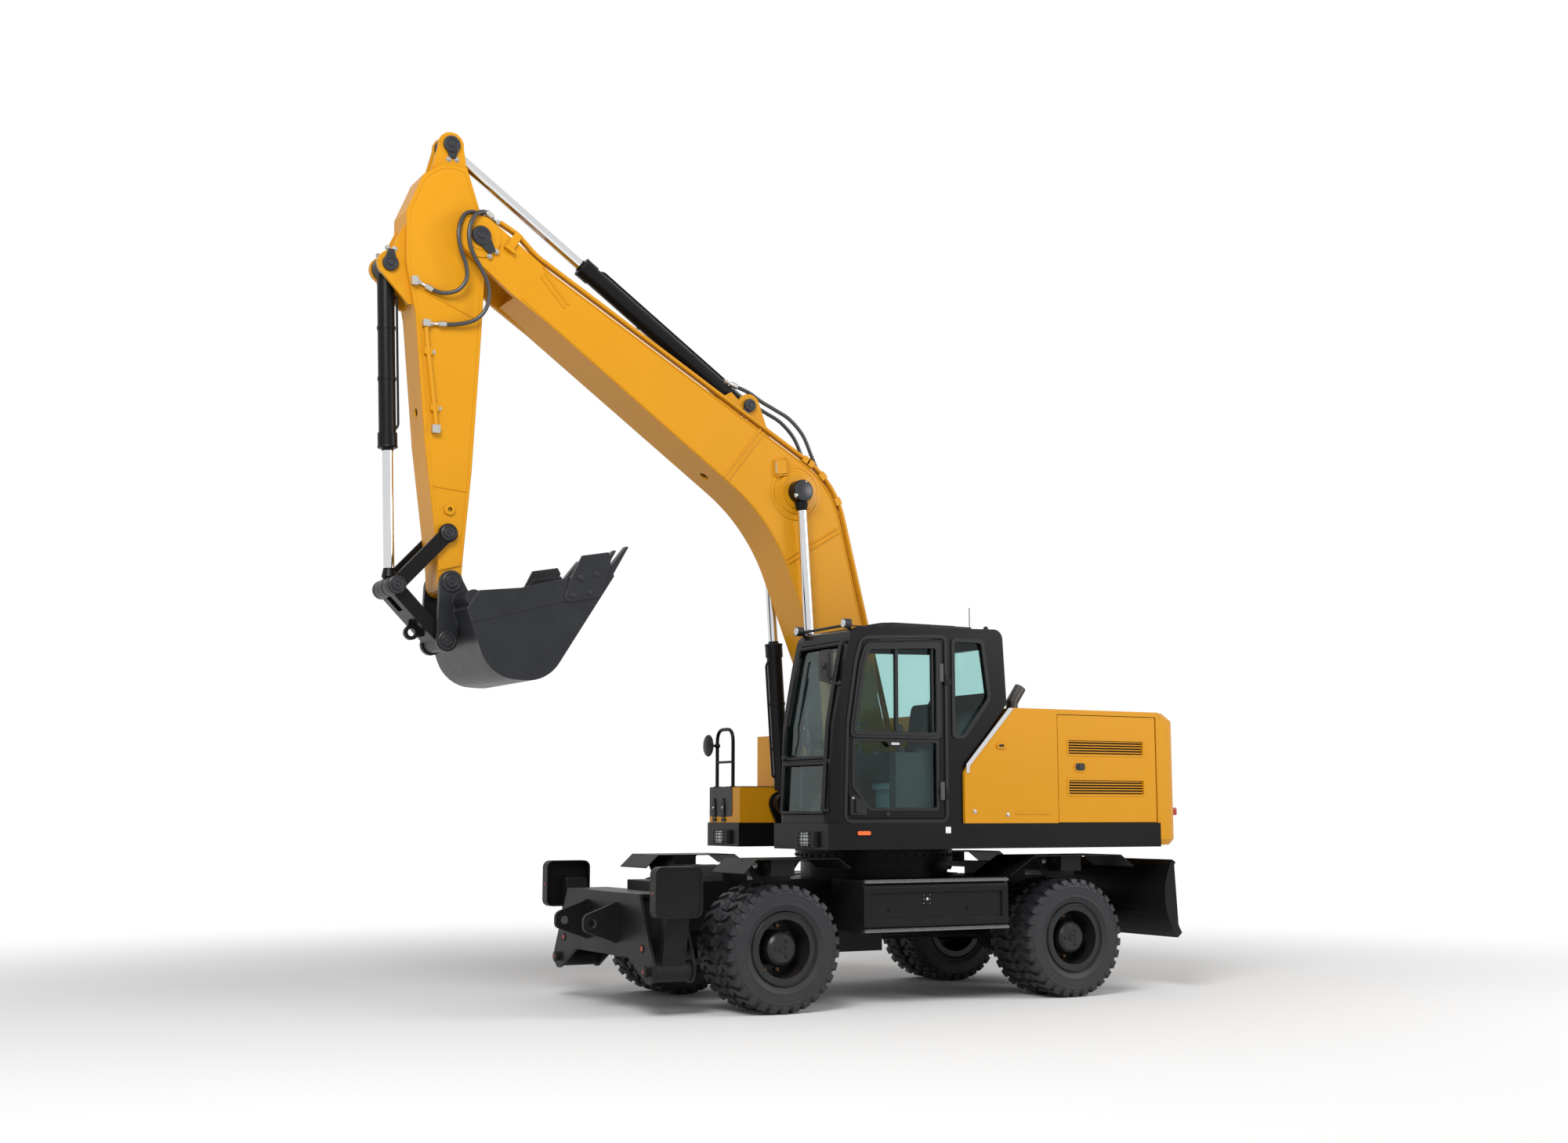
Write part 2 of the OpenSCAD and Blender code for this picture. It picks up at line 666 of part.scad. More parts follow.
module handrail() {
  r = 17;
  x = right_front - 40;
  y = -1130;
  top = 2430;
  color(black) place() {
    translate([x, y, 1880]) cylinder(r = r, h = top - 1880);
    bar([x, top], r, y - r, -800);
    translate([x, -800, 1880]) cylinder(r = r, h = top + r - 1880);
    bar_x(y, 2280, 12, x, x + 90);
    bar_x(y, 2280, 105, x + 90, x + 120);
  }
}

// Exhaust: a short stack with its end bent backwards
module exhaust_pipe() {
  bend = 35;
  color("#8a8a88") place() translate([-1020, 800, hood_top]) difference() {
    union() {
      cylinder(r = 55, h = 80);
      translate([0, 0, 80]) sphere(r = 55);
      translate([0, 0, 80]) rotate([0, -bend, 0]) cylinder(r = 55, h = 170);
    }
    translate([0, 0, 80]) rotate([0, -bend, 0]) cylinder(r = 48, h = 171);
  }
}

// Round lamps on the roof's front corners, guarded lamps in both platforms' fronts
module work_lamps() {
  lamp_r = 42;
  color("#3c3c3e") place() {
    for (y = [cab_in + 45, cab_out - 50]) {
      block([785, y - 18, roof_front + 1], [960, y + 18, roof_front + 9]);
      bar_x(y, roof_front + 22, lamp_r, 950, 1015);
    }
    block([left_front, 770, 1352], [left_front + 40, 1070, 1482]);
    block([right_front, -1070, 1352], [right_front + 40, -770, 1482]);
  }
}

// Side profile of the cab, counter-clockwise, as [x, z]
roof_front = cab_roof - 40;
cab_profile = concat([[seam_front + 8, deck_z], [1190, deck_z], [1135, 2390], [1030, 2940]],
  fillet([1030, 2940], [960, 3235], [780, roof_front], 120, 6),
  fillet([700, cab_roof - 35], [-610, cab_roof], [-640, 3050], 90, 6),
  [[-655, 2610], [seam_front + 8, 2010]]);
cab_out = upper_half - 25;
cab_plan_r = 110;

// Space between two insets of the cab's profile, across the cab
module cab_layer(d, y0, y1) {
  plate(inset(cab_profile, d), y0, y1);
}
module cab_block(d) {
  intersection() {
    cab_layer(d, cab_in + d, cab_out - d);
    translate([-800, cab_in + d, deck_z]) linear_extrude(cab_roof)
      polygon(concat([[0, 0]], fillet([0, 0], [2000 - 15 - d, 0], [2000 - 15 - d, 900], cab_plan_r - d),
        fillet([2000 - 15 - d, 0], [2000 - 15 - d, cab_out - cab_in - 2 * d], [0, cab_out - cab_in - 2 * d], cab_plan_r - d),
        [[0, cab_out - cab_in - 2 * d]]));
  }
}
door_outline = [[door_rear, 1590], [1010, 1590], [985, 2390], [900, 2940], [845, 3120], [door_rear, 3165]];
door_window = [[door_rear + 80, 2325], [938, 2325], [930, 2400], [850, 2900], [800, 3050], [door_rear + 80, 3090]];
door_low_window = [[door_rear + 80, 1680], [790, 1680], [945, 1870], [940, 2255], [door_rear + 80, 2255]];
quarter_window = [[-90, 2315], [-90, 3150], [-385, 3150], [-455, 2660], [-185, 2315]];

// Openings for the fixed panes of the cab
module cab_panes() {
  block([800, cab_in + 95, 1640], [1400, cab_out - 95, 2060]);
  plate([[1010, 2110], [1300, 2110], [1300, 2900], [1000, 3120], [880, 3080]], cab_in + 95, cab_out - 95);
  plate([[-450, 2700], [-100, 2150], [960, 2150], [880, 2930], [800, 3080], [-480, 3110]], cab_in - 5, cab_in + 100);
  plate(quarter_window, cab_out - 100, cab_out + 5);
  block([-750, cab_in + 110, 2720], [-500, cab_out - 110, 3120]);
}

// Pin of the door's hinges, just outside the cab's wall
door_axis = [door_rear - 6, cab_out + 13];
door_hinge_z = [1760, 2760];

module cab_shell() {
  color(black) place() {
    difference() {
      cab_block(0);
      cab_block(cab_wall);
      cab_panes();
      plate(door_outline, cab_out - cab_wall - 30, cab_out + 5);
    }
    for (z = door_hinge_z) {
      block([door_axis[0] - 70, cab_out, z], [door_axis[0], cab_out + 12, z + 45]);
      translate([door_axis[0], door_axis[1], z]) cylinder(r = 12, h = 45);
      translate([door_axis[0], door_axis[1], z]) cylinder(r = hinge_pin_r - 1, h = 90);
    }
  }
}

module cab_glass() {
  inner = 20;
  color(glass) place() intersection() {
    difference() {
      cab_block(inner);
      cab_block(inner + glass_t);
    }
    cab_panes();
  }
}

module cab_door() {
  color(black) place() difference() {
    union() {
      plate(inset(door_outline, panel_gap), cab_out - cab_wall, cab_out);
      for (z = door_hinge_z) {
        block([door_axis[0], cab_out, z + 45.3], [door_axis[0] + 75, cab_out + 12, z + 90]);
        translate([door_axis[0], door_axis[1], z + 45.3]) cylinder(r = 12, h = 44.7);
      }
    }
    plate(door_window, cab_out - 100, cab_out + 5);
    plate(door_low_window, cab_out - 100, cab_out + 5);
    for (z = door_hinge_z)
      translate([door_axis[0], door_axis[1], z + 40]) cylinder(r = hinge_pin_r - 1 + fit, h = 60);
  }
}

module cab_door_glass() {
  color(glass) place() {
    plate(door_window, cab_out - 20 - glass_t, cab_out - 20);
    plate(door_low_window, cab_out - 20 - glass_t, cab_out - 20);
  }
}

// The seat stands between two consoles, in the middle of the cab
cab_floor = deck_z + cab_wall;
cab_mid = (cab_in + cab_out) / 2;
console_w = 105;
console_gap = 20;
seat_half = (cab_out - cab_in) / 2 - cab_wall - console_gap - console_w - 32.5;
module seat() {
  color("#3a3b3e") place() translate([200, cab_mid, cab_floor]) {
    block([-180, 90 - seat_half, 0], [180, seat_half - 90, 300]);
    translate([-230, 0, 300]) plate(rounded(500, 130, 50), -seat_half, seat_half);
    rotate([0, -8, 0]) translate([-240, 0, 425]) plate(rounded(120, 640, 50), 10 - seat_half, seat_half - 10);
  }
}

module controls() {
  color("#4b4c4f") place() translate([0, 0, cab_floor]) {
    for (y = [cab_in + cab_wall + console_gap, cab_out - cab_wall - console_gap - console_w])
      block([-70, y, 0], [480, y + console_w, 560]);
    block([700, cab_mid - 70, 0], [790, cab_mid + 70, 640]);
    translate([745, cab_mid, 640]) cylinder(r = 28, h = 160);
    translate([745, cab_mid, 800]) difference() {
      cylinder(r = 175, h = 26);
      translate([0, 0, -1]) cylinder(r = 148, h = 28);
    }
    translate([745 - 160, cab_mid - 15, 800]) cube([320, 30, 26]);
  }
}

module cab_mirror() {
  color(black) place() {
    bar_x(cab_out - 30, 2830, 10, 1053.5, 1130);
    translate([0, cab_out - 240, 2760]) plate_x(rounded(220, 270, 50), 1130, 1165);
  }
}

// Boom: corners of its top and under edges, from the foot
top_corner = [497, 4691];
under_corner = [1137, 4295];
boom_outline = concat(
  arc(foot, 175, -150, -20, 6), [[225, 2010]],
  fillet([225, 2010], under_corner, [3712, 6121], 1700, 12), [[3640, 6068]],
  [[3430, 6377]], fillet([3488, 6410], top_corner, [-180, 2010], 800, 12), [[-150, 2080]]);

module boom() {
  half = boom_w / 2;
  cheek = 46;
  boss_r = 150;
  open_tip = [[3500, 6100], [4300, 6200], [4300, 7000], [3300, 6420], [3420, 6200]];
  tip = concat([[3300, 5830], [3700, 6090]], arc(stick_pin, 190, -40, 130, 8), [[3300, 6300]]);
  bracket = concat([[1050, 4960], [1750, 5330], [1500, 5480]], arc(arm_base, 110, 20, 170, 6));
  color(yellow) place() on_boom() {
    difference() {
      union() {
        difference() {
          plate(boom_outline, -half, half);
          plate(inset(boom_outline, boom_plate), -half + boom_plate, half - boom_plate);
          translate([1700, 0, 4800]) cylinder(r = 40, h = 1000, center = true);
        }
        for (y = [-half, half - cheek]) plate(tip, y, y + cheek);
        for (s = [-1, 1]) {
          y = s > 0 ? half : -half - 40;
          bar(boom_rod_eye, boss_r, y, y + 40);
          bar(stick_pin, 120, s > 0 ? half : -half - 20, s > 0 ? half + 20 : -half);
        }
        bar(foot, 172, -half, half);
        for (y = [-145, 105]) plate(bracket, y, y + 40);
        bar(arm_base, 50, -145, 145);
        bar(stick_pin, stick_pin_r, -half, half);
      }
      bar(foot, foot_pin_r + fit, -half - 1, half + 1);
    }
  }
}

// Work lamp in a folded bracket on the boom's left side
module boom_lamp() {
  lamp = [1045, 4790];
  depth = boom_cyl_y - eye_half - boom_w / 2 - 7;
  color(yellow) place() on_boom() translate([lamp[0], boom_w / 2, lamp[1]]) {
    plate([[-70, -60], [60, -85], [70, 75], [-60, 100]], 0, 12);
    plate([[-70, -60], [60, -85], [62, -73], [-68, -48]], 0, depth);
    plate([[-70, -60], [-58, -62], [-48, 98], [-60, 100]], 0, depth);
    plate([[-55, -45], [50, -65], [58, 60], [-46, 80]], 10, depth - 4);
  }
}

// Cylinder barrel from base to eye with a bore for the rod: eye_w across the base eye,
// then a neck as far as start, where the tube begins
module barrel(base, eye, r, len, rod_r, pin_r, eye_w, start = 40) {
  difference() {
    union() {
      bar(base, pin_r + 48, -eye_w / 2, eye_w / 2);
      along(base, eye) cylinder(r = min(r, eye_w / 2 - 6), h = start + 1);
      along(base, eye) translate([0, 0, start]) cylinder(r = r, h = len - start);
      along(base, eye) translate([0, 0, len - 130]) cylinder(r = r + 10, h = 110);
    }
    bar(base, pin_r + fit, -eye_w / 2 - 1, eye_w / 2 + 1);
    along(base, eye) translate([0, 0, max(start, pin_r + 48) + 22]) cylinder(r = rod_r + fit, h = len);
  }
}
module rod(base, eye, from, rod_r, eye_r, eye_w) {
  along(base, eye) translate([0, 0, from]) cylinder(r = rod_r, h = norm(eye - base) - from);
  bar(eye, eye_r, -eye_w / 2, eye_w / 2);
}

boom_barrel_len = 1500;
module boom_barrels() {
  color(black) place() on_boom() for (y = [-boom_cyl_y, boom_cyl_y]) translate([0, y, 0])
    barrel(boom_cyl_base, boom_rod_eye, boom_cyl_r, boom_barrel_len, 45, 45, 2 * eye_half, 125);
}
module boom_rods() {
  color(steel) place() on_boom() for (y = [-boom_cyl_y, boom_cyl_y]) translate([0, y, 0])
    rod(boom_cyl_base, boom_rod_eye, boom_barrel_len - 350, 45, 100, 2 * eye_half);
}

arm_barrel_len = 1980;
module arm_barrel() {
  color(black) place() on_boom() barrel(arm_base, arm_eye, arm_cyl_r, arm_barrel_len, 50, 50, 180);
}
module arm_rod() {
  color(steel) place() on_boom() rod(arm_base, arm_eye, arm_barrel_len - 350, 50, 100, 110);
}

stick_outline = [[3925, 5700], [3984, 4494], [4048, 3700], [4252, 3640], [4284, 3889], [4401, 4730], [4508, 5814],
  [4600, 6250], [4610, 6700], [4470, 7040], [4300, 7160], [4085, 7160], [3950, 6760], [3900, 6420]];
module stick() {
  half = stick_w / 2;
  fork = concat([[4010, 6850], [4450, 6850]], arc(arm_eye, 115, -10, 190, 8));
  lug = concat([[4480, 5900], [4560, 5900]], arc(bucket_base, lug_r, -60, 90, 8), [[4560, 6700], [4480, 6700]]);
  tip = concat([[4040, 3760]], arc(bucket_pin, 100, 180, 360, 10), [[4262, 3760]]);
  rod_slot = [[3700, 6800], [4050, 6800], [4230, 6880], [4340, 7150], [4340, 7600], [3700, 7600]];
  color(yellow) place() on_boom() difference() {
    union() {
      difference() {
        plate(stick_outline, -half, half);
        plate(inset(stick_outline, stick_plate), -half + stick_plate, half - stick_plate);
        translate([4200, 0, 5000]) rotate([0, 90, 0]) cylinder(r = 40, h = 1000, center = true);
      }
      plate(tip, -half + 10, half - 10);
      bar(stick_pin, 150, -half, half);
      for (y = [-100, 62]) plate(fork, y, y + 38);
      for (y = [-130, 95]) plate(lug, y, y + 35);
      bar(bucket_base, 50, -130, 130);
    }
    bar(stick_pin, stick_pin_r + fit, -half - 1, half + 1);
    bar(bucket_pin, bucket_pin_r + fit, -half - 1, half + 1);
    bar(rocker_pin, bucket_pin_r + fit, -half - 1, half + 1);
    plate(rod_slot, -60, 60);
  }
}

bucket_barrel_len = 1560;
module bucket_barrel() {
  color(black) place() on_boom() barrel(bucket_base, link_pin, arm_cyl_r - 10, bucket_barrel_len, 45, 50, 170);
}
module bucket_rod() {
  color(steel) place() on_boom() rod(bucket_base, link_pin, bucket_barrel_len - 350, 45, 80, 90);
}

link_half = stick_w / 2 - 10;
module rocker() {
  in = stick_w / 2 + side_gap;
  out = in + 40;
  d = unit(link_pin - rocker_pin);
  n = [-d[1], d[0]] * 62;
  color(black) place() on_boom() {
    for (y = [-out, in]) {
      plate([rocker_pin - n, link_pin - n, link_pin + n, rocker_pin + n], y, y + 40);
      bar(rocker_pin, 80, y, y + 40);
      bar(link_pin, 80, y, y + 40);
    }
    bar(rocker_pin, bucket_pin_r, -out, out);
    for (s = [-1, 1]) bar(link_pin, bucket_pin_r, s > 0 ? 65 : -out, s > 0 ? out : -65);
  }
}

module h_link() {
  d = unit(link_eye - link_pin);
  n = [-d[1], d[0]];
  web_from = link_pin + d * 230;
  lift_eye = link_pin + d * 400 + n * 118;
  color(black) place() on_boom() difference() {
    union() {
      for (y = [-link_half, 60]) {
        bar(link_pin, 80, y, y + link_half - 60);
        plate([link_pin - n * 60, web_from - n * 60, web_from + n * 60, link_pin + n * 60], y, y + link_half - 60);
      }
      plate([web_from - n * 60 - d * 20, link_eye - n * 55, link_eye + n * 55, web_from + n * 60 - d * 20],
        -link_half, link_half);
      bar(link_eye, 75, -link_half, link_half);
      bar(lift_eye, 62, -22, 22);
      plate([lift_eye - n * 10 - d * 60, lift_eye - n * 10 + d * 60, lift_eye - n * 80 + d * 110,
        lift_eye - n * 80 - d * 110], -22, 22);
    }
    bar(lift_eye, 32, -23, 23);
    for (s = [-1, 1]) bar(link_pin, bucket_pin_r + fit, s > 0 ? 59 : -link_half - 1, s > 0 ? link_half + 1 : -59);
  }
}

// Bucket: corners of its side outline
lip = [2830, 3640];
floor_corner = [3420, 2720];
back_corner = [3925, 2735];
back_top = [4130, 3300];
bucket_curve = concat([lip], fillet(lip, floor_corner, back_corner, 330, 8),
  fillet(floor_corner, back_corner, back_top, 330, 8), [back_top]);

module bucket() {
  half = bucket_w / 2;
  ear_in = stick_w / 2 + side_gap;
  mouth = [[4030, 3450], [3675, 3491], [3230, 3607], [3127, 3720], [2868, 3760]];
  inner = concat([[2700, 4000]], [for (p = inset(concat(bucket_curve, [[3500, 4400]]), bucket_plate))
    if (p[1] < 3600) p], [[4000, 4200]]);
  ear = concat([[4090, 3200]], arc(link_eye, 92, 200, 380, 8), arc(bucket_pin, 100, 0, 170, 8), [[4000, 3470]]);
  tooth_w = 75;
  adapter_w = 105;
  cutter = [[3280, 3435], [3227, 3611], [3134, 3795], [2895, 3840], [2866, 3790], [2958, 3460], [3264, 3398]];
  side_bar = [[3255, 3412], [4085, 3190], [4128, 3300], [4030, 3450], [3675, 3491], [3262, 3598]];
  color(black) place() on_boom() {
    difference() {
      plate(concat(bucket_curve, mouth), -half, half);
      plate(inner, -half + bucket_plate, half - bucket_plate);
    }
    for (y = [-ear_in - 45, ear_in]) plate(ear, y, y + 45);
    both_sides() {
      plate(cutter, half, half + 25);
      plate(side_bar, half, half + 12);
      bar([4072, 3388], 68, ear_in + 40, half);
    }
    bar(bucket_pin, bucket_pin_r, -ear_in - 45, ear_in + 45);
    for (i = [0:teeth - 1]) {
      y = -half + tooth_w / 2 + i * (bucket_w - tooth_w) / (teeth - 1);
      plate([[2985, 3398], [2700, 3900], [2720, 3905], [2900, 3680], [3020, 3480]], y - tooth_w / 2, y + tooth_w / 2);
      base_y = max(-half, min(half - adapter_w, y - adapter_w / 2));
      plate([[3060, 3330], [2905, 3570], [2850, 3690], [2890, 3705], [2985, 3610], [3100, 3420]],
        base_y, base_y + adapter_w);
    }
  }
}

chassis_frame();
slew_ring();
front_axle();
rear_axle();
driveline();
stabilizer_frame();
fenders();
step_boxes();
knuckle_left();
knuckle_right();
tyres_front_left();
rims_front_left();
tyres_front_right();
rims_front_right();
tyres_rear_left();
rims_rear_left();
tyres_rear_right();
rims_rear_right();
blade();
blade_barrels();
blade_rods();
outrigger_left();
outrigger_right();
upper_frame();
counterweight();
hood_body();
engine_hood();
left_service_door();
right_service_door();
engine();
tanks();
tool_box();
handrail();
exhaust_pipe();
work_lamps();
cab_shell();
cab_glass();
cab_door();
cab_door_glass();
seat();
controls();
cab_mirror();
boom();
boom_lamp();
boom_barrels();
boom_rods();
arm_barrel();
arm_rod();
stick();
bucket_barrel();
bucket_rod();
rocker();
h_link();
bucket();
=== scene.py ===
import json
import math

import bmesh
import bpy
from mathutils import Matrix, Vector


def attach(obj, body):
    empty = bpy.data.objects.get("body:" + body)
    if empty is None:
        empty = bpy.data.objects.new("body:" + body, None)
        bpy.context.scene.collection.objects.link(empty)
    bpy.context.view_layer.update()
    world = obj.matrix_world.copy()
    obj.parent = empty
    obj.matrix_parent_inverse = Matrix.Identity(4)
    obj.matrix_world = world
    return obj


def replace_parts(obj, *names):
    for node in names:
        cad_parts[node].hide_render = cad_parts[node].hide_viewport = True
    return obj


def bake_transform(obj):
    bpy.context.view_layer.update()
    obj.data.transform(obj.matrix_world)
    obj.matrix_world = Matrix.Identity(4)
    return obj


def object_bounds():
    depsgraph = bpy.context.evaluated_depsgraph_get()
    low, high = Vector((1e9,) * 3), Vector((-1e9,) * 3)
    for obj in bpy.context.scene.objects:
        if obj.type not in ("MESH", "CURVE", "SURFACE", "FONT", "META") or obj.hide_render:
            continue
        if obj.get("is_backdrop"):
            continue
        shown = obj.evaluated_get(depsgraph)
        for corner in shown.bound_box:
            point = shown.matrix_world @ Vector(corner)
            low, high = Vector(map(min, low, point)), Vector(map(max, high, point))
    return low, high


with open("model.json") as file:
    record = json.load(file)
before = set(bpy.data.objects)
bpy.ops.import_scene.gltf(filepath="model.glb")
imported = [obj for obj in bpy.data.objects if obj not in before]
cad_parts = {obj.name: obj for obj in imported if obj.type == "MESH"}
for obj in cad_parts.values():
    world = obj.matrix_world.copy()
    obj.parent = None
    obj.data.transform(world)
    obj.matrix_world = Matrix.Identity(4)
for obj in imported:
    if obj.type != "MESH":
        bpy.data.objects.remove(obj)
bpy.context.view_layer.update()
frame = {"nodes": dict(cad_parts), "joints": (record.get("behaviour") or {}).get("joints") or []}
nodes = frame["nodes"]
joints = {j["name"]: j for j in frame["joints"]}

# Undercarriage
# A welded box frame with two axles, the slew ring, the stabilizer frame, mudguards and step
# boxes, all sprayed satin black. Road dust greys the paint towards the ground.

slew_x = joints["slew"]["pos_m"][0]
road_half = 1.25


def spot(x, y, z):
    """A place measured from the slew axis and the ground, in metres."""
    return Vector((slew_x + x, y, z))


def facing(origin, right, up, out):
    """A drawing plane: its first axis runs right, its second up, and its third out of the surface."""
    turn = Matrix((right, up, out)).transposed().to_4x4()
    return Matrix.Translation(origin) @ turn


def left_face(x, y, z):
    return facing(spot(x, y, z), (1, 0, 0), (0, 0, 1), (0, 1, 0))


def right_face(x, y, z):
    return facing(spot(x, y, z), (1, 0, 0), (0, 0, 1), (0, -1, 0))


def side_face(side):
    """The left drawing plane, or the right one where side is negative."""
    return left_face if side > 0 else right_face


def front_face(x, y, z):
    return facing(spot(x, y, z), (0, 1, 0), (0, 0, 1), (1, 0, 0))


def top_face(x, y, z):
    return facing(spot(x, y, z), (1, 0, 0), (0, 1, 0), (0, 0, 1))


def add_prism(bm, outline, depth, place, start=0.0):
    """A flat outline made solid, from start to depth out of its plane."""
    low = [bm.verts.new(place @ Vector((u, v, start))) for u, v in outline]
    high = [bm.verts.new(place @ Vector((u, v, depth))) for u, v in outline]
    bm.faces.new(low)
    bm.faces.new(high)
    for i in range(len(outline)):
        j = (i + 1) % len(outline)
        bm.faces.new((low[i], low[j], high[j], high[i]))


def add_lathe(bm, profile, place, steps=32):
    """A turned piece about the plane's out axis; profile runs from bottom to top as (radius, height)."""
    rings = []
    for r, h in profile:
        if r == 0:
            rings.append([bm.verts.new(place @ Vector((0, 0, h)))])
            continue
        turns = [2 * math.pi * i / steps for i in range(steps)]
        rings.append([bm.verts.new(place @ Vector((r * math.cos(t), r * math.sin(t), h))) for t in turns])
    for a, b in zip(rings, rings[1:]):
        for i in range(steps):
            j = (i + 1) % steps
            corners = (a[i % len(a)], a[j % len(a)], b[j % len(b)], b[i % len(b)])
            bm.faces.new(list(dict.fromkeys(corners)))


def rounded(u0, v0, u1, v1, r, steps=5):
    """Outline of a rectangle with round corners, counter-clockwise."""
    outline = []
    for cu, cv, from_deg in ((u1 - r, v1 - r, 0), (u0 + r, v1 - r, 90), (u0 + r, v0 + r, 180),
                             (u1 - r, v0 + r, 270)):
        for i in range(steps + 1):
            t = math.radians(from_deg + 90 * i / steps)
            outline.append((cu + r * math.cos(t), cv + r * math.sin(t)))
    return outline


def add_bolt(bm, place, r=0.014):
    """Hexagon head on a washer."""
    add_lathe(bm, [(0, 0), (1.5 * r, 0), (1.5 * r, 0.25 * r), (r, 0.25 * r)], place, 12)
    add_lathe(bm, [(0, 0.2 * r), (r, 0.2 * r), (r, 0.95 * r), (0.85 * r, 1.1 * r), (0, 1.1 * r)], place, 6)


def wire(tree, *pairs):
    """Joins nodes, each pair an output and the input that it feeds."""
    for source, target in pairs:
        tree.links.new(source, target)


repeat_group = bpy.data.node_groups.new("repeat", "GeometryNodeTree")
repeat_group.interface.new_socket("Geometry", in_out="OUTPUT", socket_type="NodeSocketGeometry")
repeat_inputs = {}
for label, kind in (("Piece", "Object"), ("Count", "Int"), ("Step", "Vector"), ("Turn", "Float"),
                    ("Finish", "Material")):
    socket = repeat_group.interface.new_socket(label, in_out="INPUT", socket_type="NodeSocket" + kind)
    repeat_inputs[label] = socket.identifier
given = repeat_group.nodes.new("NodeGroupInput")
index = repeat_group.nodes.new("GeometryNodeInputIndex")
shift = repeat_group.nodes.new("ShaderNodeVectorMath")
shift.operation = "SCALE"
angle = repeat_group.nodes.new("ShaderNodeMath")
angle.operation = "MULTIPLY"
about_z = repeat_group.nodes.new("ShaderNodeCombineXYZ")
turned = repeat_group.nodes.new("FunctionNodeEulerToRotation")
points = repeat_group.nodes.new("GeometryNodePoints")
item = repeat_group.nodes.new("GeometryNodeObjectInfo")
copies = repeat_group.nodes.new("GeometryNodeInstanceOnPoints")
solid = repeat_group.nodes.new("GeometryNodeRealizeInstances")
finish = repeat_group.nodes.new("GeometryNodeSetMaterial")
result = repeat_group.nodes.new("NodeGroupOutput")
wire(repeat_group,
     (given.outputs["Step"], shift.inputs["Vector"]),
     (index.outputs["Index"], shift.inputs["Scale"]),
     (given.outputs["Turn"], angle.inputs[0]),
     (index.outputs["Index"], angle.inputs[1]),
     (angle.outputs["Value"], about_z.inputs["Z"]),
     (about_z.outputs["Vector"], turned.inputs["Euler"]),
     (given.outputs["Count"], points.inputs["Count"]),
     (shift.outputs["Vector"], points.inputs["Position"]),
     (given.outputs["Piece"], item.inputs["Object"]),
     (points.outputs["Points"], copies.inputs["Points"]),
     (item.outputs["Geometry"], copies.inputs["Instance"]),
     (turned.outputs["Rotation"], copies.inputs["Rotation"]),
     (copies.outputs["Instances"], solid.inputs["Geometry"]),
     (solid.outputs["Geometry"], finish.inputs["Geometry"]),
     (given.outputs["Finish"], finish.inputs["Material"]),
     (finish.outputs["Geometry"], result.inputs["Geometry"]))


def add_copies(bm, small, count, material, place, step=(0, 0, 0), turn=0.0):
    """Repeats a small piece count times, each moved by step and turned about the plane's out axis."""
    mesh = bpy.data.meshes.new("item")
    small.to_mesh(mesh)
    small.free()
    sample = bpy.data.objects.new("item", mesh)
    carrier = bpy.data.objects.new("carrier", bpy.data.meshes.new("carrier"))
    for obj in (sample, carrier):
        bpy.context.scene.collection.objects.link(obj)
    modifier = carrier.modifiers.new("repeat", "NODES")
    modifier.node_group = repeat_group
    values = {"Piece": sample, "Count": count, "Step": step, "Turn": turn, "Finish": material}
    for label, value in values.items():
        modifier[repeat_inputs[label]] = value
    seen = bpy.context.evaluated_depsgraph_get()
    whole = bpy.data.meshes.new_from_object(carrier.evaluated_get(seen), depsgraph=seen)
    whole.transform(place)
    bm.from_mesh(whole)
    carrier.modifiers.clear()
    for obj in (sample, carrier):
        bpy.data.objects.remove(obj)
    bpy.data.meshes.remove(whole)


def piece(name, bm, material, body, crease=32):
    """Makes one piece of the machine out of a bmesh: smooth up to the crease angle, riding on its body."""
    bmesh.ops.recalc_face_normals(bm, faces=bm.faces)
    for face in bm.faces:
        face.smooth = True
        face.material_index = 0
    mesh = bpy.data.meshes.new(name)
    bm.to_mesh(mesh)
    bm.free()
    mesh.set_sharp_from_angle(angle=math.radians(crease))
    mesh.materials.clear()
    mesh.materials.append(material)
    obj = bpy.data.objects.new(name, mesh)
    bpy.context.scene.collection.objects.link(obj)
    if body:
        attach(obj, body)
    return obj


def noise(tree, place, scale, detail=2.0):
    """A cloudy pattern on the piece's own coordinates."""
    pattern = tree.nodes.new("ShaderNodeTexNoise")
    pattern.inputs["Scale"].default_value = scale
    pattern.inputs["Detail"].default_value = detail
    tree.links.new(place.outputs["Object"], pattern.inputs["Vector"])
    return pattern.outputs["Fac"]


def remap(tree, value, low, high, start=0.0, end=1.0):
    """Turns a value that runs from start to end into one that runs from low to high."""
    scaled = tree.nodes.new("ShaderNodeMapRange")
    for label, number in (("From Min", start), ("From Max", end), ("To Min", low), ("To Max", high)):
        scaled.inputs[label].default_value = number
    tree.links.new(value, scaled.inputs["Value"])
    return scaled


def reckon(tree, operation, *terms):
    """A sum in a node tree; each term is a number or another node's output."""
    sum_node = tree.nodes.new("ShaderNodeMath")
    sum_node.operation = operation
    for socket, term in zip(sum_node.inputs, terms):
        if isinstance(term, float):
            socket.default_value = term
        else:
            tree.links.new(term, socket)
    return sum_node


def tint(tree, amount, under, over):
    """Lays one colour over another, which is a colour or a node's output."""
    mixed = tree.nodes.new("ShaderNodeMix")
    mixed.data_type = "RGBA"
    mixed.inputs["B"].default_value = (*over, 1)
    tree.links.new(amount, mixed.inputs["Factor"])
    if isinstance(under, tuple):
        mixed.inputs["A"].default_value = (*under, 1)
    else:
        tree.links.new(under, mixed.inputs["A"])
    return mixed.outputs["Result"]


dust_colour, dust_most = (0.06, 0.056, 0.05), 0.5
wear_least, wear_spread = 0.84, 0.16
grain_depth = 0.002


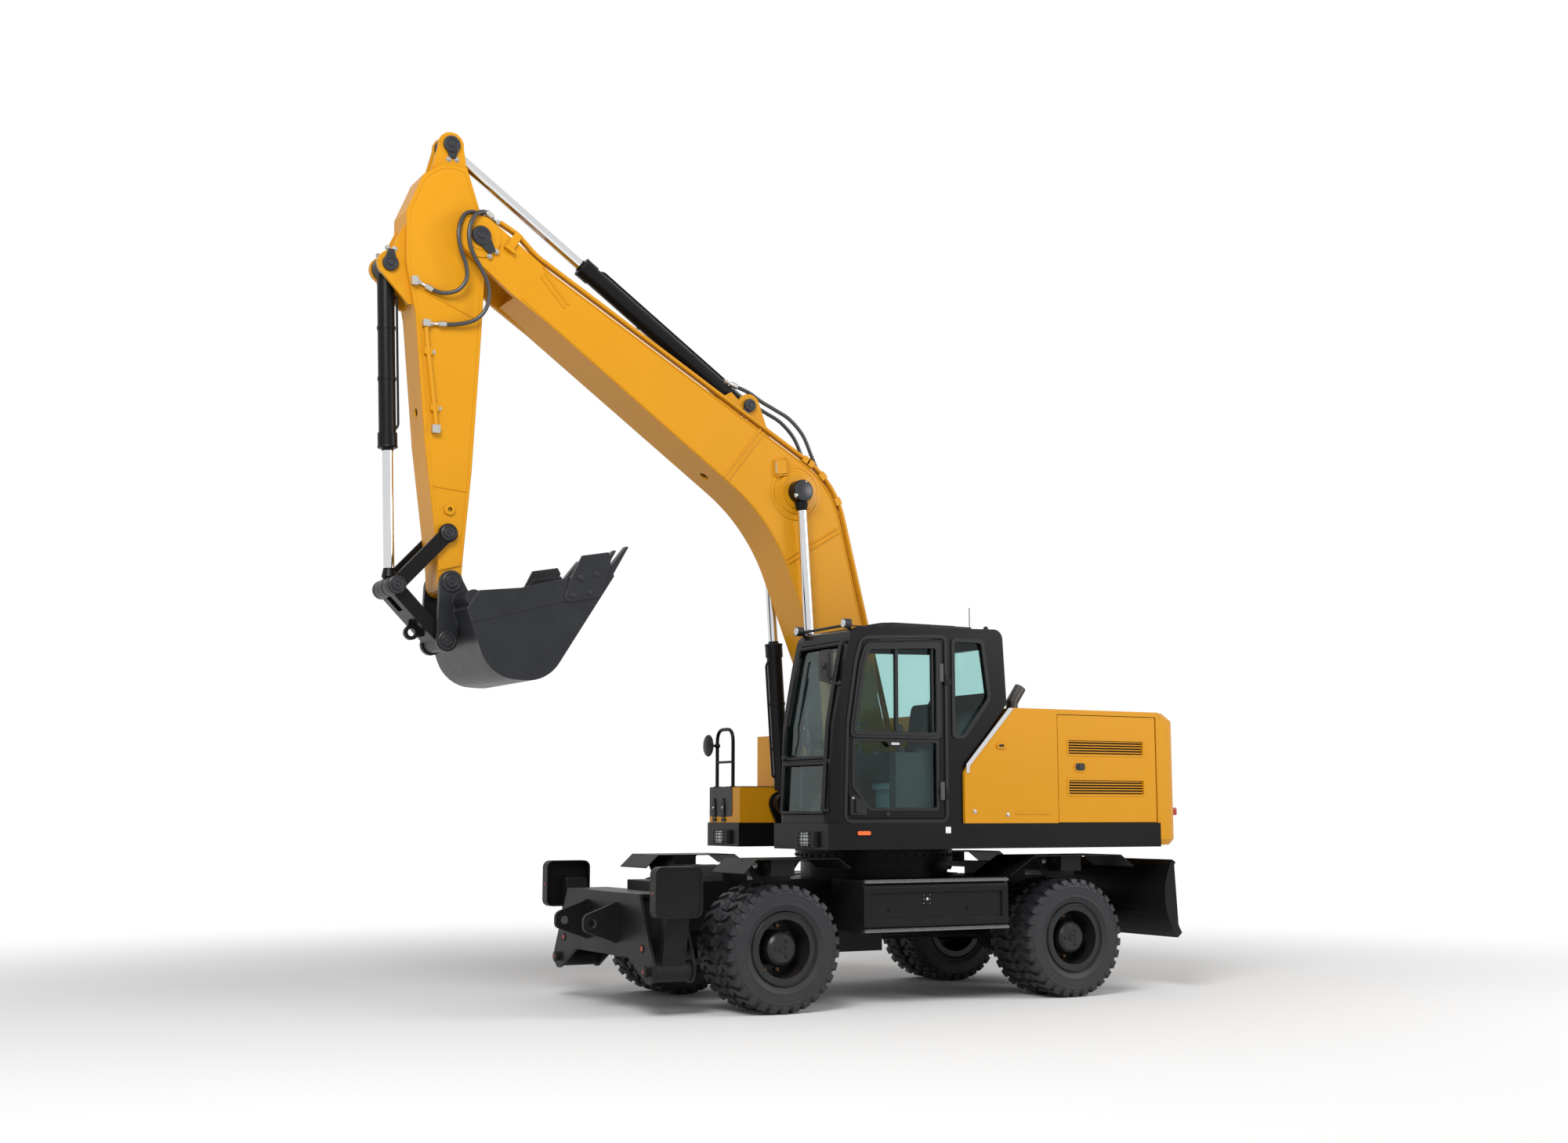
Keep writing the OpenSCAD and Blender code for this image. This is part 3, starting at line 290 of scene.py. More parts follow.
def surface(name, colour, rough, metal=0.0, vary=0.12, scale=2.3, dust_top=0.0, coat=0.0, edge=0.004,
            grain=0.05, grain_scale=160, rub=None, shine=0.4):
    """A finish with mottled colour, fine grain and softened edges. Dust thins out upwards to dust_top,
    and rub is the colour that shows where edges are worn."""
    material = bpy.data.materials.new(name)
    material.use_nodes = True
    tree = material.node_tree
    shader = tree.nodes["Principled BSDF"]
    for label, number in (("Metallic", metal), ("Specular IOR Level", shine), ("Coat Weight", coat),
                          ("Coat Roughness", 0.08)):
        shader.inputs[label].default_value = number
    place = tree.nodes.new("ShaderNodeTexCoord")
    mottle = noise(tree, place, scale, 6)
    darker = tuple((1 - vary) * c for c in colour)
    lighter = tuple(min(1, (1 + vary) * c) for c in colour)
    paint = tint(tree, mottle, darker, lighter)
    if dust_top:
        height = tree.nodes.new("ShaderNodeSeparateXYZ")
        tree.links.new(place.outputs["Object"], height.inputs["Vector"])
        settled = remap(tree, height.outputs["Z"], 0.0, dust_most, start=dust_top, end=0.0)
        amount = reckon(tree, "MULTIPLY", settled.outputs["Result"], noise(tree, place, 9, 9))
        paint = tint(tree, amount.outputs["Value"], paint, dust_colour)
    soften = tree.nodes.new("ShaderNodeBevel")
    soften.samples = 4
    soften.inputs["Radius"].default_value = edge
    if rub:
        flat = tree.nodes.new("ShaderNodeNewGeometry")
        kept = tree.nodes.new("ShaderNodeVectorMath")
        kept.operation = "DOT_PRODUCT"
        wire(tree, (flat.outputs["Normal"], kept.inputs[0]), (soften.outputs["Normal"], kept.inputs[1]))
        limit = reckon(tree, "MULTIPLY_ADD", noise(tree, place, 14, 8), wear_spread, wear_least)
        bare = reckon(tree, "LESS_THAN", kept.outputs["Value"], limit.outputs["Value"])
        paint = tint(tree, bare.outputs["Value"], paint, rub)
    gloss = remap(tree, mottle, max(0.02, rough - 0.06), rough + 0.09)
    bump = tree.nodes.new("ShaderNodeBump")
    bump.inputs["Strength"].default_value = grain
    bump.inputs["Distance"].default_value = grain_depth
    wire(tree,
         (paint, shader.inputs["Base Color"]),
         (gloss.outputs["Result"], shader.inputs["Roughness"]),
         (noise(tree, place, grain_scale), bump.inputs["Height"]),
         (soften.outputs["Normal"], bump.inputs["Normal"]),
         (bump.outputs["Normal"], shader.inputs["Normal"]))
    return material


def coat_nodes(material, *names):
    """Gives solids of the frame this finish."""
    for name in names:
        nodes[name].data.materials.clear()
        nodes[name].data.materials.append(material)


frame_black = surface("frame_black", (0.006, 0.0064, 0.007), 0.36, dust_top=1.1, rub=(0.03, 0.03, 0.032),
                      shine=0.14)
zinc = surface("zinc_steel", (0.56, 0.55, 0.52), 0.34, metal=1.0, edge=0.001, grain=0.03)
warm_red = surface("red_plugs", (0.42, 0.045, 0.035), 0.4, edge=0.001)
rubber = surface("black_rubber", (0.008, 0.008, 0.009), 0.5, shine=0.3, edge=0.002, grain=0.12,
                 grain_scale=260)
tread_steel = surface("tread_steel", (0.16, 0.16, 0.155), 0.45, metal=0.6, vary=0.5, scale=30, edge=0.001)
coat_nodes(frame_black, "chassis_frame", "slew_ring", "front_axle", "rear_axle", "driveline",
           "stabilizer_frame", "fenders", "step_boxes", "knuckle_left", "knuckle_right", "blade",
           "blade_barrels", "outrigger_left", "outrigger_right")

fittings = bmesh.new()
brackets = bmesh.new()
axle_x = {"front": 1.62, "rear": -1.36}
stay_y, stay_half, stay_z, stay_bolt_z = 1.0, 0.006, 1.124, 1.205
stay_bow = [(-0.29, 0.13), (-0.25, 0.09), (-0.2, 0.02), (-0.17, -0.05), (0.17, -0.05), (0.2, 0.02),
            (0.25, 0.09), (0.29, 0.13)]
for x in axle_x.values():
    for side in (-1, 1):
        add_prism(brackets, stay_bow, 2 * stay_half, left_face(x, side * stay_y - stay_half, stay_z))
        for u in (-0.16, 0.0, 0.16):
            add_bolt(fittings, side_face(side)(x + u, side * (stay_y + stay_half), stay_bolt_z), 0.016)

ring_band = [(0.7195, 0), (0.731, 0.004), (0.731, 0.02), (0.7195, 0.024)]
ring_stud_r, ring_stud_z, ring_studs = 0.72, 1.262, 48
for z in (1.214, 1.285):
    add_lathe(brackets, ring_band, top_face(0, 0, z), 96)
stud = bmesh.new()
add_bolt(stud, facing(Vector((ring_stud_r, 0, 0)), (0, 1, 0), (0, 0, 1), (1, 0, 0)), 0.013)
add_copies(brackets, stud, ring_studs, frame_black, top_face(0, 0, ring_stud_z),
           turn=2 * math.pi / ring_studs)

step_from, step_to = -0.62, 0.865
step_levels = (0.646, 1.058)
tread_bar = [(step_from, -0.01), (step_to, -0.01), (step_to, 0.01), (step_from, 0.01)]
tread_tooth = [(0, 0), (0.016, 0), (0.011, 0.011), (0.005, 0.011)]
tooth_count, tooth_pitch, tooth_half = 66, 0.0221, 0.02
locker_y = road_half - 0.018
lock_plate = rounded(0.185, 0.86, 0.265, 0.945, 0.006)
lock_lip = rounded(0.2, 0.85, 0.25, 0.862, 0.004)
lock_barrel = [(0, 0.004), (0.012, 0.004), (0.012, 0.01), (0, 0.013)]
lock_rivet = [(0, 0.003), (0.004, 0.003), (0.003, 0.006), (0, 0.007)]
locker_stop = [(0, 0), (0.017, 0), (0.014, 0.012), (0, 0.016)]
treads = bmesh.new()
for side in (-1, 1):
    face = side_face(side)
    for z in step_levels:
        add_prism(treads, tread_bar, 0.012, face(0, side * road_half, z))
        tooth = bmesh.new()
        add_prism(tooth, tread_tooth, tooth_half, Matrix.Identity(4), -tooth_half)
        add_copies(treads, tooth, tooth_count, tread_steel,
                   face(step_from + 0.02, side * road_half, z + 0.008), step=(tooth_pitch, 0, 0))
    add_prism(brackets, lock_plate, 0.004, face(0, side * locker_y, 0))
    add_prism(brackets, lock_lip, 0.012, face(0, side * locker_y, 0))
    add_lathe(fittings, lock_barrel, face(0.224, side * locker_y, 0.905), 16)
    for u in (0.192, 0.258):
        for v in (0.868, 0.904, 0.94):
            add_lathe(fittings, lock_rivet, face(u, side * locker_y, v), 10)
    for u in (-0.2, 0.6):
        add_lathe(brackets, locker_stop, face(u, side * locker_y, 0.82), 16)

stab_front = 2.73
plug_y, plug_z = 0.84, 0.545
boss_x, boss_y, boss_z = stab_front + 0.025, 0.96, 0.367
tow_x, tow_y, tow_half, tow_z = stab_front + 0.22, 0.31, 0.02, 0.725
frame_plug = [(0, 0), (0.026, 0), (0.022, 0.006), (0, 0.008)]
plug_ring = [(0.026, 0), (0.036, 0), (0.034, 0.008), (0.026, 0.008)]
leg_boss = [(0, 0), (0.05, 0), (0.05, 0.01), (0.04, 0.016), (0, 0.016)]
boss_plug = [(0, 0.016), (0.012, 0.016), (0.01, 0.02), (0, 0.021)]
tow_ring = [(0.036, 0), (0.06, 0), (0.058, 0.006), (0.036, 0.006)]
plugs = bmesh.new()
for side in (-1, 1):
    add_lathe(plugs, frame_plug, front_face(stab_front, side * plug_y, plug_z), 20)
    add_lathe(brackets, plug_ring, front_face(stab_front, side * plug_y, plug_z), 24)
    add_lathe(brackets, leg_boss, front_face(boss_x, side * boss_y, boss_z), 24)
    add_lathe(plugs, boss_plug, front_face(boss_x, side * boss_y, boss_z), 14)
    add_lathe(brackets, tow_ring, left_face(tow_x, side * tow_y + tow_half, tow_z), 28)
piece("step_treads", treads, tread_steel, "chassis")
piece("chassis_fittings", brackets, frame_black, "chassis")
piece("chassis_bolts", fittings, zinc, "chassis")
piece("frame_plugs", plugs, warm_red, "chassis")

# Wheels
# Twin road tyres with thirty lugs each, on black rims bolted to planetary hubs. Brass-coloured
# nuts hold the disc and three bolts the hub's end cap.

tyre_r = 0.5275
outer_y, inner_y = 1.111, 0.786
disc_y, cap_y, bead_y = 0.9635, 1.196, outer_y + 0.1
lug_count, nut_count, cap_bolts = 30, 10, 3
nut_circle, cap_circle = 0.19, 0.07
tyre_rubber = surface("tyre_rubber", (0.016, 0.017, 0.021), 0.52, dust_top=1.15, shine=0.34, grain=0.16,
                      grain_scale=120, edge=0.006)
brass = surface("brass_nuts", (0.38, 0.2, 0.1), 0.4, metal=1.0, edge=0.001)
rim_black = surface("rim_black", (0.009, 0.009, 0.01), 0.3, dust_top=1.0, edge=0.006, shine=0.34)

# The tyre's side from its bead to the middle of the tread, as (radius, distance from the middle)
wall = [(0.2545, 0.103), (0.3, 0.104), (0.307, 0.114), (0.318, 0.122), (0.326, 0.1225), (0.33, 0.1255),
        (0.358, 0.134), (0.364, 0.1375), (0.37, 0.1355), (0.4, 0.139), (0.425, 0.139), (0.447, 0.1365),
        (0.453, 0.1385), (0.459, 0.1345), (0.478, 0.128), (0.494, 0.117), (0.502, 0.1), (0.5035, 0.07),
        (0.5035, 0.0)]
carcass = wall + [(r, -h) for r, h in reversed(wall[:-1])] + [wall[0]]
# Stations across half a lug, from the middle of the tread outwards: place, centre, half width and top
pitch = 2 * math.pi / lug_count
lug_rows = [(0.004, 0.34, 0.13, tyre_r), (0.03, 0.3, 0.22, tyre_r), (0.052, 0.16, 0.25, tyre_r),
            (0.075, 0.05, 0.27, tyre_r), (0.112, 0.0, 0.29, 0.5265), (0.124, 0.0, 0.285, 0.52),
            (0.1335, 0.0, 0.27, 0.497), (0.1375, 0.0, 0.25, 0.474)]
lug_root, lug_foot = 0.495, 0.122


def lug_half(side):
    """Half a lug, sunk into the tread, with sides that widen towards its foot."""
    bm = bmesh.new()
    rows = []
    for h, centre, half, top in lug_rows:
        low = min(lug_root, top - 0.02)
        low_h = min(h, lug_foot) if top > 0.5 else h - 0.016
        row = []
        for edge, r, y in ((-half, top, h), (half, top, h), (1.2 * half, low, low_h),
                           (-1.2 * half, low, low_h)):
            t = (centre + edge) * pitch
            row.append(bm.verts.new((r * math.cos(t), r * math.sin(t), side * y)))
        rows.append(row)
    bm.faces.new(rows[0])
    bm.faces.new(rows[-1])
    for a, b in zip(rows, rows[1:]):
        for i in range(4):
            bm.faces.new((a[i], a[(i + 1) % 4], b[(i + 1) % 4], b[i]))
    return bm


wheel_nut = [(0, 0), (0.019, 0), (0.019, 0.022), (0.016, 0.026), (0.011, 0.026), (0.011, 0.042), (0, 0.044)]
cap_ring = [(0.028, 0), (0.034, 0.004), (0.03, 0.007), (0.026, 0.004), (0.028, 0)]
for wheel in ("front_left", "front_right", "rear_left", "rear_right"):
    end, hand = wheel.split("_")
    side = 1 if hand == "left" else -1
    face = side_face(side)
    tyres = bmesh.new()
    for y in (inner_y, outer_y):
        axle = facing(spot(axle_x[end], side * y, tyre_r), (0, 0, -1), (1, 0, 0), (0, side, 0))
        add_lathe(tyres, carcass, axle, 96)
        for half in (-1, 1):
            add_copies(tyres, lug_half(half), lug_count, tyre_rubber, axle, turn=pitch)
    tyre = piece("tyre_" + wheel, tyres, tyre_rubber, "wheel_" + wheel, crease=28)
    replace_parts(tyre, "tyres_" + wheel)
    coat_nodes(rim_black, "rims_" + wheel)
    nuts = bmesh.new()
    nut = bmesh.new()
    add_lathe(nut, wheel_nut, Matrix.Translation((nut_circle, 0, 0)), 6)
    add_copies(nuts, nut, nut_count, brass, face(axle_x[end], side * disc_y, tyre_r),
               turn=2 * math.pi / nut_count)
    piece("nuts_" + wheel, nuts, brass, "wheel_" + wheel)
    trim = bmesh.new()
    hub_cap = face(axle_x[end], side * cap_y, tyre_r)
    cap_bolt = bmesh.new()
    add_bolt(cap_bolt, Matrix.Translation((cap_circle, 0, 0)), 0.012)
    add_copies(trim, cap_bolt, cap_bolts, rim_black, hub_cap, turn=2 * math.pi / cap_bolts)
    add_lathe(trim, cap_ring, hub_cap, 24)
    for h in (0.005, 0.021):
        add_lathe(trim, [(0.2965, h), (0.3015, h + 0.003), (0.3015, h + 0.008), (0.2965, h + 0.011)],
                  face(axle_x[end], side * bead_y, tyre_r), 96)
    piece("hub_trim_" + wheel, trim, rim_black, "wheel_" + wheel)

# Blade and stabilizers
# A curved dozer blade on two arms behind, with a bolted wear edge, and two folding legs in front
# whose pads lie flat against the sides. All are welded black plate.

worn_steel = surface("worn_steel", (0.2, 0.195, 0.19), 0.42, metal=1.0, vary=0.35, scale=9, edge=0.002)
blade_x, blade_z, blade_r, blade_half = -3.01, 0.88, 0.56, 1.245
low_turn = math.radians(-40)
edge_x = blade_x + blade_r * math.cos(low_turn)
edge_z = blade_z + blade_r * math.sin(low_turn)
edge_up, edge_out = (0.45, 0, 0.89), (-0.89, 0, 0.45)
edge_bar = [(0, 0), (-0.022, 0.01), (0.035, 0.118), (0.055, 0.11)]
edge_bolts, edge_bolt_pitch = 13, 0.19
wear = bmesh.new()
add_prism(wear, edge_bar, blade_half, left_face(edge_x, 0, edge_z), -blade_half)
cutter_bolts = bmesh.new()
stud = bmesh.new()
add_bolt(stud, Matrix.Identity(4), 0.016)
add_copies(cutter_bolts, stud, edge_bolts, worn_steel,
           facing(spot(edge_x - 0.003, -1.14, edge_z + 0.052), (0, 1, 0), edge_up, edge_out),
           step=(edge_bolt_pitch, 0, 0))
piece("blade_wear_edge", wear, frame_black, "blade")
piece("blade_bolts", cutter_bolts, worn_steel, "blade")


def add_band(bm, outer, inner, depth, place, start=0.0):
    """A flat ring between two outlines with the same number of points."""
    rows = []
    for outline, height in ((outer, start), (outer, depth), (inner, depth), (inner, start)):
        rows.append([bm.verts.new(place @ Vector((u, v, height))) for u, v in outline])
    for i in range(len(outer)):
        j = (i + 1) % len(outer)
        for a, b in ((0, 1), (1, 2), (2, 3), (3, 0)):
            bm.faces.new((rows[a][i], rows[a][j], rows[b][j], rows[b][i]))


pad_y, leg_y = 1.225, 1.01
pad_rim = rounded(2.372, 0.802, 2.788, 1.208, 0.058)
pad_tray = rounded(2.392, 0.822, 2.768, 1.188, 0.04)
pad_plug = [(0, 0), (0.011, 0), (0.009, 0.004), (0, 0.005)]
for hand, side in (("left", 1), ("right", -1)):
    leg = bmesh.new()
    face = side_face(side)
    add_band(leg, pad_rim, pad_tray, 0.006, face(0, side * pad_y, 0))
    for z in (0.42, 0.62):
        add_prism(leg, rounded(2.43, z, 2.645, z + 0.02, 0.004), 0.012, face(0, side * leg_y, 0), -0.02)
    body = "outrigger_" + hand
    piece("pad_rim_" + hand, leg, frame_black, body)
    dots = bmesh.new()
    add_lathe(dots, pad_plug, front_face(2.79, side * 1.165, 1.0), 14)
    piece("pad_plugs_" + hand, dots, warm_red, body)

# Upper, hood and counterweight
# The revolving frame carries a yellow steel hood in panels, with slatted air grilles in its doors,
# a cast counterweight, a tool box under a bent handrail, and black sills with lamps and a reflector.

upper_black = surface("upper_black", (0.0055, 0.0056, 0.006), 0.3, rub=(0.025, 0.025, 0.027), shine=0.16)
golden = surface("golden_yellow", (0.6, 0.262, 0.006), 0.36, vary=0.06, scale=1.1, coat=0.06, shine=0.2)
lamp_black = surface("lamp_housing", (0.018, 0.018, 0.019), 0.45, edge=0.002, grain=0.1)
soot = surface("heat_stained_steel", (0.075, 0.072, 0.07), 0.36, metal=0.7, vary=0.4, scale=7)
iron = surface("cast_iron", (0.1, 0.105, 0.11), 0.55, grain=0.4, grain_scale=60)
amber = surface("amber_lens", (0.85, 0.13, 0.01), 0.18, edge=0.001, coat=0.8)
pearl = surface("white_reflector", (0.78, 0.78, 0.77), 0.3, edge=0.001)
lens = surface("lamp_lens", (0.55, 0.57, 0.58), 0.12, metal=0.5, vary=0.5, scale=60, edge=0.001, grain=0.5,
               grain_scale=90)
coat_nodes(upper_black, "upper_frame", "cab_shell", "cab_door")
coat_nodes(golden, "counterweight", "hood_body", "engine_hood", "left_service_door", "right_service_door",
           "tanks", "tool_box", "boom", "boom_lamp", "stick")
coat_nodes(iron, "engine")
coat_nodes(soot, "exhaust_pipe")
coat_nodes(lamp_black, "work_lamps")

upper_half, hood_top = 1.25, 2.576
grille_from, grille_to = -2.18, -1.317
grille_levels = ((1.812, 1.935), (2.175, 2.297))
wire_count, wire_pitch, wire_width = 60, 0.01425, 0.004
latch_rim = rounded(-1.512, 2.012, -1.378, 2.102, 0.03)
latch_well = rounded(-1.5, 2.024, -1.39, 2.09, 0.022)
latch_paddle = rounded(-1.488, 2.036, -1.43, 2.078, 0.012)
latch_lock = [(0, 0), (0.012, 0), (0.012, 0.006), (0, 0.007)]
for hand, side in (("left", 1), ("right", -1)):
    face = side_face(side)
    door_skin = face(0, side * upper_half, 0)
    wires = bmesh.new()
    frames = bmesh.new()
    for low, high in grille_levels:
        upright = bmesh.new()
        add_prism(upright, [(0, 0), (wire_width, 0), (wire_width, high - low), (0, high - low)], wire_width,
                  Matrix.Identity(4))
        add_copies(wires, upright, wire_count, lamp_black,
                   face(grille_from + 0.004, side * (upper_half - 0.043), low), step=(wire_pitch, 0, 0))
        backing = [(grille_from, low), (grille_to, low), (grille_to, high), (grille_from, high)]
        add_prism(wires, backing, 0.002, face(0, side * (upper_half - 0.0448), 0))
        add_band(frames, rounded(grille_from - 0.02, low - 0.02, grille_to + 0.02, high + 0.02, 0.025),
                 rounded(grille_from - 0.001, low - 0.001, grille_to + 0.001, high + 0.001, 0.012), 0.004,
                 door_skin)
    piece(hand + "_grille_wires", wires, lamp_black, hand + "_service_door")
    add_band(frames, latch_rim, latch_well, 0.006, door_skin)
    piece(hand + "_grille_frames", frames, golden, hand + "_service_door")
    latch = bmesh.new()
    add_prism(latch, latch_well, 0.002, door_skin)
    add_prism(latch, latch_paddle, 0.009, door_skin)
    add_lathe(latch, latch_lock, face(-1.41, side * upper_half, 2.057), 16)
    piece(hand + "_door_latch", latch, lamp_black, hand + "_service_door")


def add_pipe(bm, route, radius, sides=10, ridge=0.0):
    """A round bar along a route; ridge swells every other ring, as on a spiral-sheathed hose."""
    last = len(route) - 1
    tangents = [(route[min(i + 1, last)] - route[max(i - 1, 0)]).normalized() for i in range(last + 1)]
    normal = tangents[0].orthogonal().normalized()
    rings = []
    for i, point in enumerate(route):
        normal = (normal - tangents[i] * normal.dot(tangents[i])).normalized()
        side = tangents[i].cross(normal)
        r = radius - ridge * (i % 2)
        turns = [2 * math.pi * k / sides for k in range(sides)]
        rings.append([bm.verts.new(point + r * (math.cos(t) * normal + math.sin(t) * side)) for t in turns])
    bm.faces.new(rings[0])
    bm.faces.new(rings[-1])
    for a, b in zip(rings, rings[1:]):
        for k in range(sides):
            bm.faces.new((a[k], a[(k + 1) % sides], b[(k + 1) % sides], b[k]))


def bend(a, b, c, radius, steps):
    """Points that round off the corner at b, between a and c."""
    reach = min(radius, 0.45 * (a - b).length, 0.45 * (c - b).length)
    p = b + (a - b).normalized() * reach
    q = b + (c - b).normalized() * reach
    shares = [i / steps for i in range(steps + 1)]
    return [p * (1 - t) ** 2 + 2 * b * t * (1 - t) + q * t * t for t in shares]


def bent(corners, radius, steps=5):
    """A route of straight runs with every corner rounded off."""
    route = [corners[0]]
    for a, b, c in zip(corners, corners[1:], corners[2:]):
        route += bend(a, b, c, radius, steps)
    return route + [corners[-1]]


def softened(corners, r, steps=5):
    """An outline with each corner rounded off."""
    n = len(corners)
    flat = [Vector((u, v)) for u, v in corners]
    outline = []
    for i in range(n):
        outline += [(p.x, p.y) for p in bend(flat[i - 1], flat[i], flat[(i + 1) % n], r, steps)]
    return outline


hood_trim = bmesh.new()
hood_dark = bmesh.new()
hood_bolts = bmesh.new()
side_plane = left_face(0, upper_half, 0)
flap_rim = rounded(-0.615, 2.208, -0.52, 2.26, 0.024)
flap_well = rounded(-0.598, 2.222, -0.537, 2.246, 0.012)
add_band(hood_trim, flap_rim, flap_well, 0.014, side_plane)
add_prism(hood_dark, flap_well, 0.003, side_plane)
for x, z in ((-0.632, 1.625), (-0.278, 1.653)):
    add_bolt(hood_bolts, left_face(x, upper_half, z), 0.013)
crease_line = [(-1.1, 1.63), (-0.72, 1.63), (-0.72, 1.655), (-1.1, 1.655)]
add_prism(hood_trim, softened(crease_line, 0.01), 0.005, side_plane)
for x in (-2.22, -1.21):
    for y in (-0.7, 0.43):
        add_bolt(hood_bolts, top_face(x, y, hood_top), 0.014)
lifting_cap = [(0, 0), (0.05, 0), (0.05, 0.012), (0.03, 0.02), (0, 0.02)]
for y in (-0.55, 0.55):
    add_lathe(hood_dark, lifting_cap, top_face(-2.56, y, 2.573), 24)
vent_half, vent_count, vent_pitch = 0.42, 9, 0.055
vent = bmesh.new()
add_prism(vent, [(0, 0), (0.03, 0), (0.018, 0.014), (0.006, 0.014)], vent_half,
          facing(Vector(), (1, 0, 0), (0, 0, 1), (0, 1, 0)), -vent_half)
lid_trim = bmesh.new()
add_copies(lid_trim, vent, vent_count, golden, top_face(-2.0, -0.13, hood_top), step=(vent_pitch, 0, 0))
piece("hood_vents", lid_trim, golden, "engine_hood")
filler_cap = [(0, 0), (0.065, 0), (0.065, 0.01), (0.05, 0.012), (0.05, 0.05), (0.042, 0.056), (0, 0.056)]
for x, y, tank_top in ((-0.35, -0.92, 2.44), (0.25, -0.9, 2.38)):
    add_lathe(hood_dark, filler_cap, top_face(x, y, tank_top), 24)

box_front, box_top = 1.08, 1.88
box_plane, lid_plane = front_face(box_front, 0, 0), top_face(0, 0, box_top)
cover_from, cover_to = -1.238, -0.77
tread_rows, row_studs = 9, 8
tread = bmesh.new()
add_prism(tread, rounded(0.64, -1.21, 1.04, -0.66, 0.02), 0.004, lid_plane)
for row in range(tread_rows):
    nub = bmesh.new()
    add_prism(nub, rounded(0, 0, 0.03, 0.012, 0.005, 3), 0.008, Matrix.Identity(4))
    add_copies(tread, nub, row_studs, lamp_black,
               top_face(0.67 + 0.022 * (row % 2), -1.18 + 0.058 * row, box_top + 0.003), step=(0.044, 0, 0))
piece("tool_box_tread", tread, lamp_black, "upper")
cover = bmesh.new()
clips = bmesh.new()
add_prism(cover, rounded(cover_from, 1.61, cover_to, box_top + 0.004, 0.03), 0.006, box_plane)
add_prism(cover, rounded(1.03, cover_from, box_front + 0.006, cover_to, 0.004), 0.006, lid_plane)
for y in (-1.13, -0.94):
    hasp = [(y - 0.03, 1.6), (y + 0.03, 1.6), (y + 0.03, 1.72), (y + 0.012, 1.78), (y - 0.012, 1.78),
            (y - 0.03, 1.72)]
    add_prism(clips, softened(hasp, 0.008), 0.019, box_plane)
    add_prism(clips, rounded(y - 0.035, 1.562, y + 0.035, 1.592, 0.01), 0.014, box_plane)
    add_bolt(hood_bolts, front_face(box_front + 0.019, y, 1.69), 0.009)
piece("tool_box_cover", cover, lamp_black, "upper")
piece("tool_box_clips", clips, upper_black, "upper")

hoop_x, hoop_out, hoop_in, hoop_top = 1.06, -1.13, -0.8, 2.43
rung_z, round_mirror_z = 2.12, 2.28
hoop_foot = [(0, 0), (0.04, 0), (0.04, 0.008), (0.02, 0.014), (0, 0.014)]
clamp_ball = [(0, -0.03), (0.021, -0.021), (0.03, 0), (0.021, 0.021), (0, 0.03)]
round_mirror = [(0, 0), (0.1, 0), (0.105, 0.006), (0.1, 0.014), (0.06, 0.026), (0, 0.03)]
hoop = bmesh.new()
hoop_corners = [(hoop_out, box_top), (hoop_out, hoop_top), (hoop_in, hoop_top), (hoop_in, box_top)]
add_pipe(hoop, bent([spot(hoop_x, y, z) for y, z in hoop_corners], 0.12), 0.017, 14)
add_pipe(hoop, [spot(hoop_x, y, rung_z) for y in (hoop_out, hoop_in)], 0.012, 10)
for y in (hoop_out, hoop_in):
    add_lathe(hoop, hoop_foot, top_face(hoop_x, y, box_top), 24)
add_pipe(hoop, [spot(x, hoop_out, round_mirror_z) for x in (hoop_x, hoop_x + 0.1)], 0.012, 10)
add_lathe(hoop, clamp_ball, top_face(hoop_x, hoop_out, round_mirror_z), 20)
add_lathe(hoop, round_mirror, front_face(hoop_x + 0.09, hoop_out, round_mirror_z), 40)
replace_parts(piece("handrail_hoop", hoop, upper_black, "upper"), "handrail")
piece("hood_trim", hood_trim, golden, "upper")
piece("hood_dark_trim", hood_dark, lamp_black, "upper")
piece("hood_bolts", hood_bolts, zinc, "upper")

tail_y, tail_half = 1.0, 0.09
tail_plane = facing(spot(-2.69, 0, 0), (0, 1, 0), (0, 0, 1), (-1, 0, 0))
tail = bmesh.new()
for side in (-1, 1):
    add_prism(tail, rounded(side * tail_y - tail_half, 1.62, side * tail_y + tail_half, 1.69, 0.015), 0.02,
              tail_plane, -0.04)
piece("tail_lamps", tail, warm_red, "upper")
marker = bmesh.new()
add_prism(marker, rounded(0.803, 1.453, 0.929, 1.487, 0.012), 0.014, side_plane)
piece("side_marker", marker, amber, "upper")
reflector = bmesh.new()
add_prism(reflector, rounded(-0.022, 1.465, 0.032, 1.52, 0.006), 0.003, side_plane)
piece("side_reflector", reflector, pearl, "upper")
# Front, inner and outer edge of each lamp, then the heights of the guard's bars and its hoop
sill_lamps = ((1.255, 0.77, 1.07), (1.14, -1.07, -0.77))
guard_bars = (1.375, 1.402, 1.432, 1.459)
guard_hoop = ((1.357, 0), (1.36, 0.018), (1.474, 0.018), (1.477, 0))
sill_glass = bmesh.new()
sill_guard = bmesh.new()
for x, y0, y1 in sill_lamps:
    front = front_face(x, 0, 0)
    middle = (y0 + y1) / 2
    add_prism(sill_glass, rounded(middle - 0.075, 1.362, middle + 0.075, 1.472, 0.02), 0.004, front)
    for v in guard_bars:
        add_pipe(sill_guard, [front @ Vector((u, v, 0.012)) for u in (y0 + 0.03, y1 - 0.03)], 0.004, 8)
    for u in (middle - 0.09, middle, middle + 0.09):
        add_pipe(sill_guard, bent([front @ Vector((u, v, out)) for v, out in guard_hoop], 0.008), 0.004, 8)
piece("sill_lamp_lenses", sill_glass, lens, "upper")
piece("sill_lamp_guards", sill_guard, upper_black, "upper")

# Cab
# A pressed steel cab with bonded glass in rubber seals, a split windscreen, a door with a sliding
# upper pane, roof lamps, a mirror on a bent arm, and a seat between two consoles.

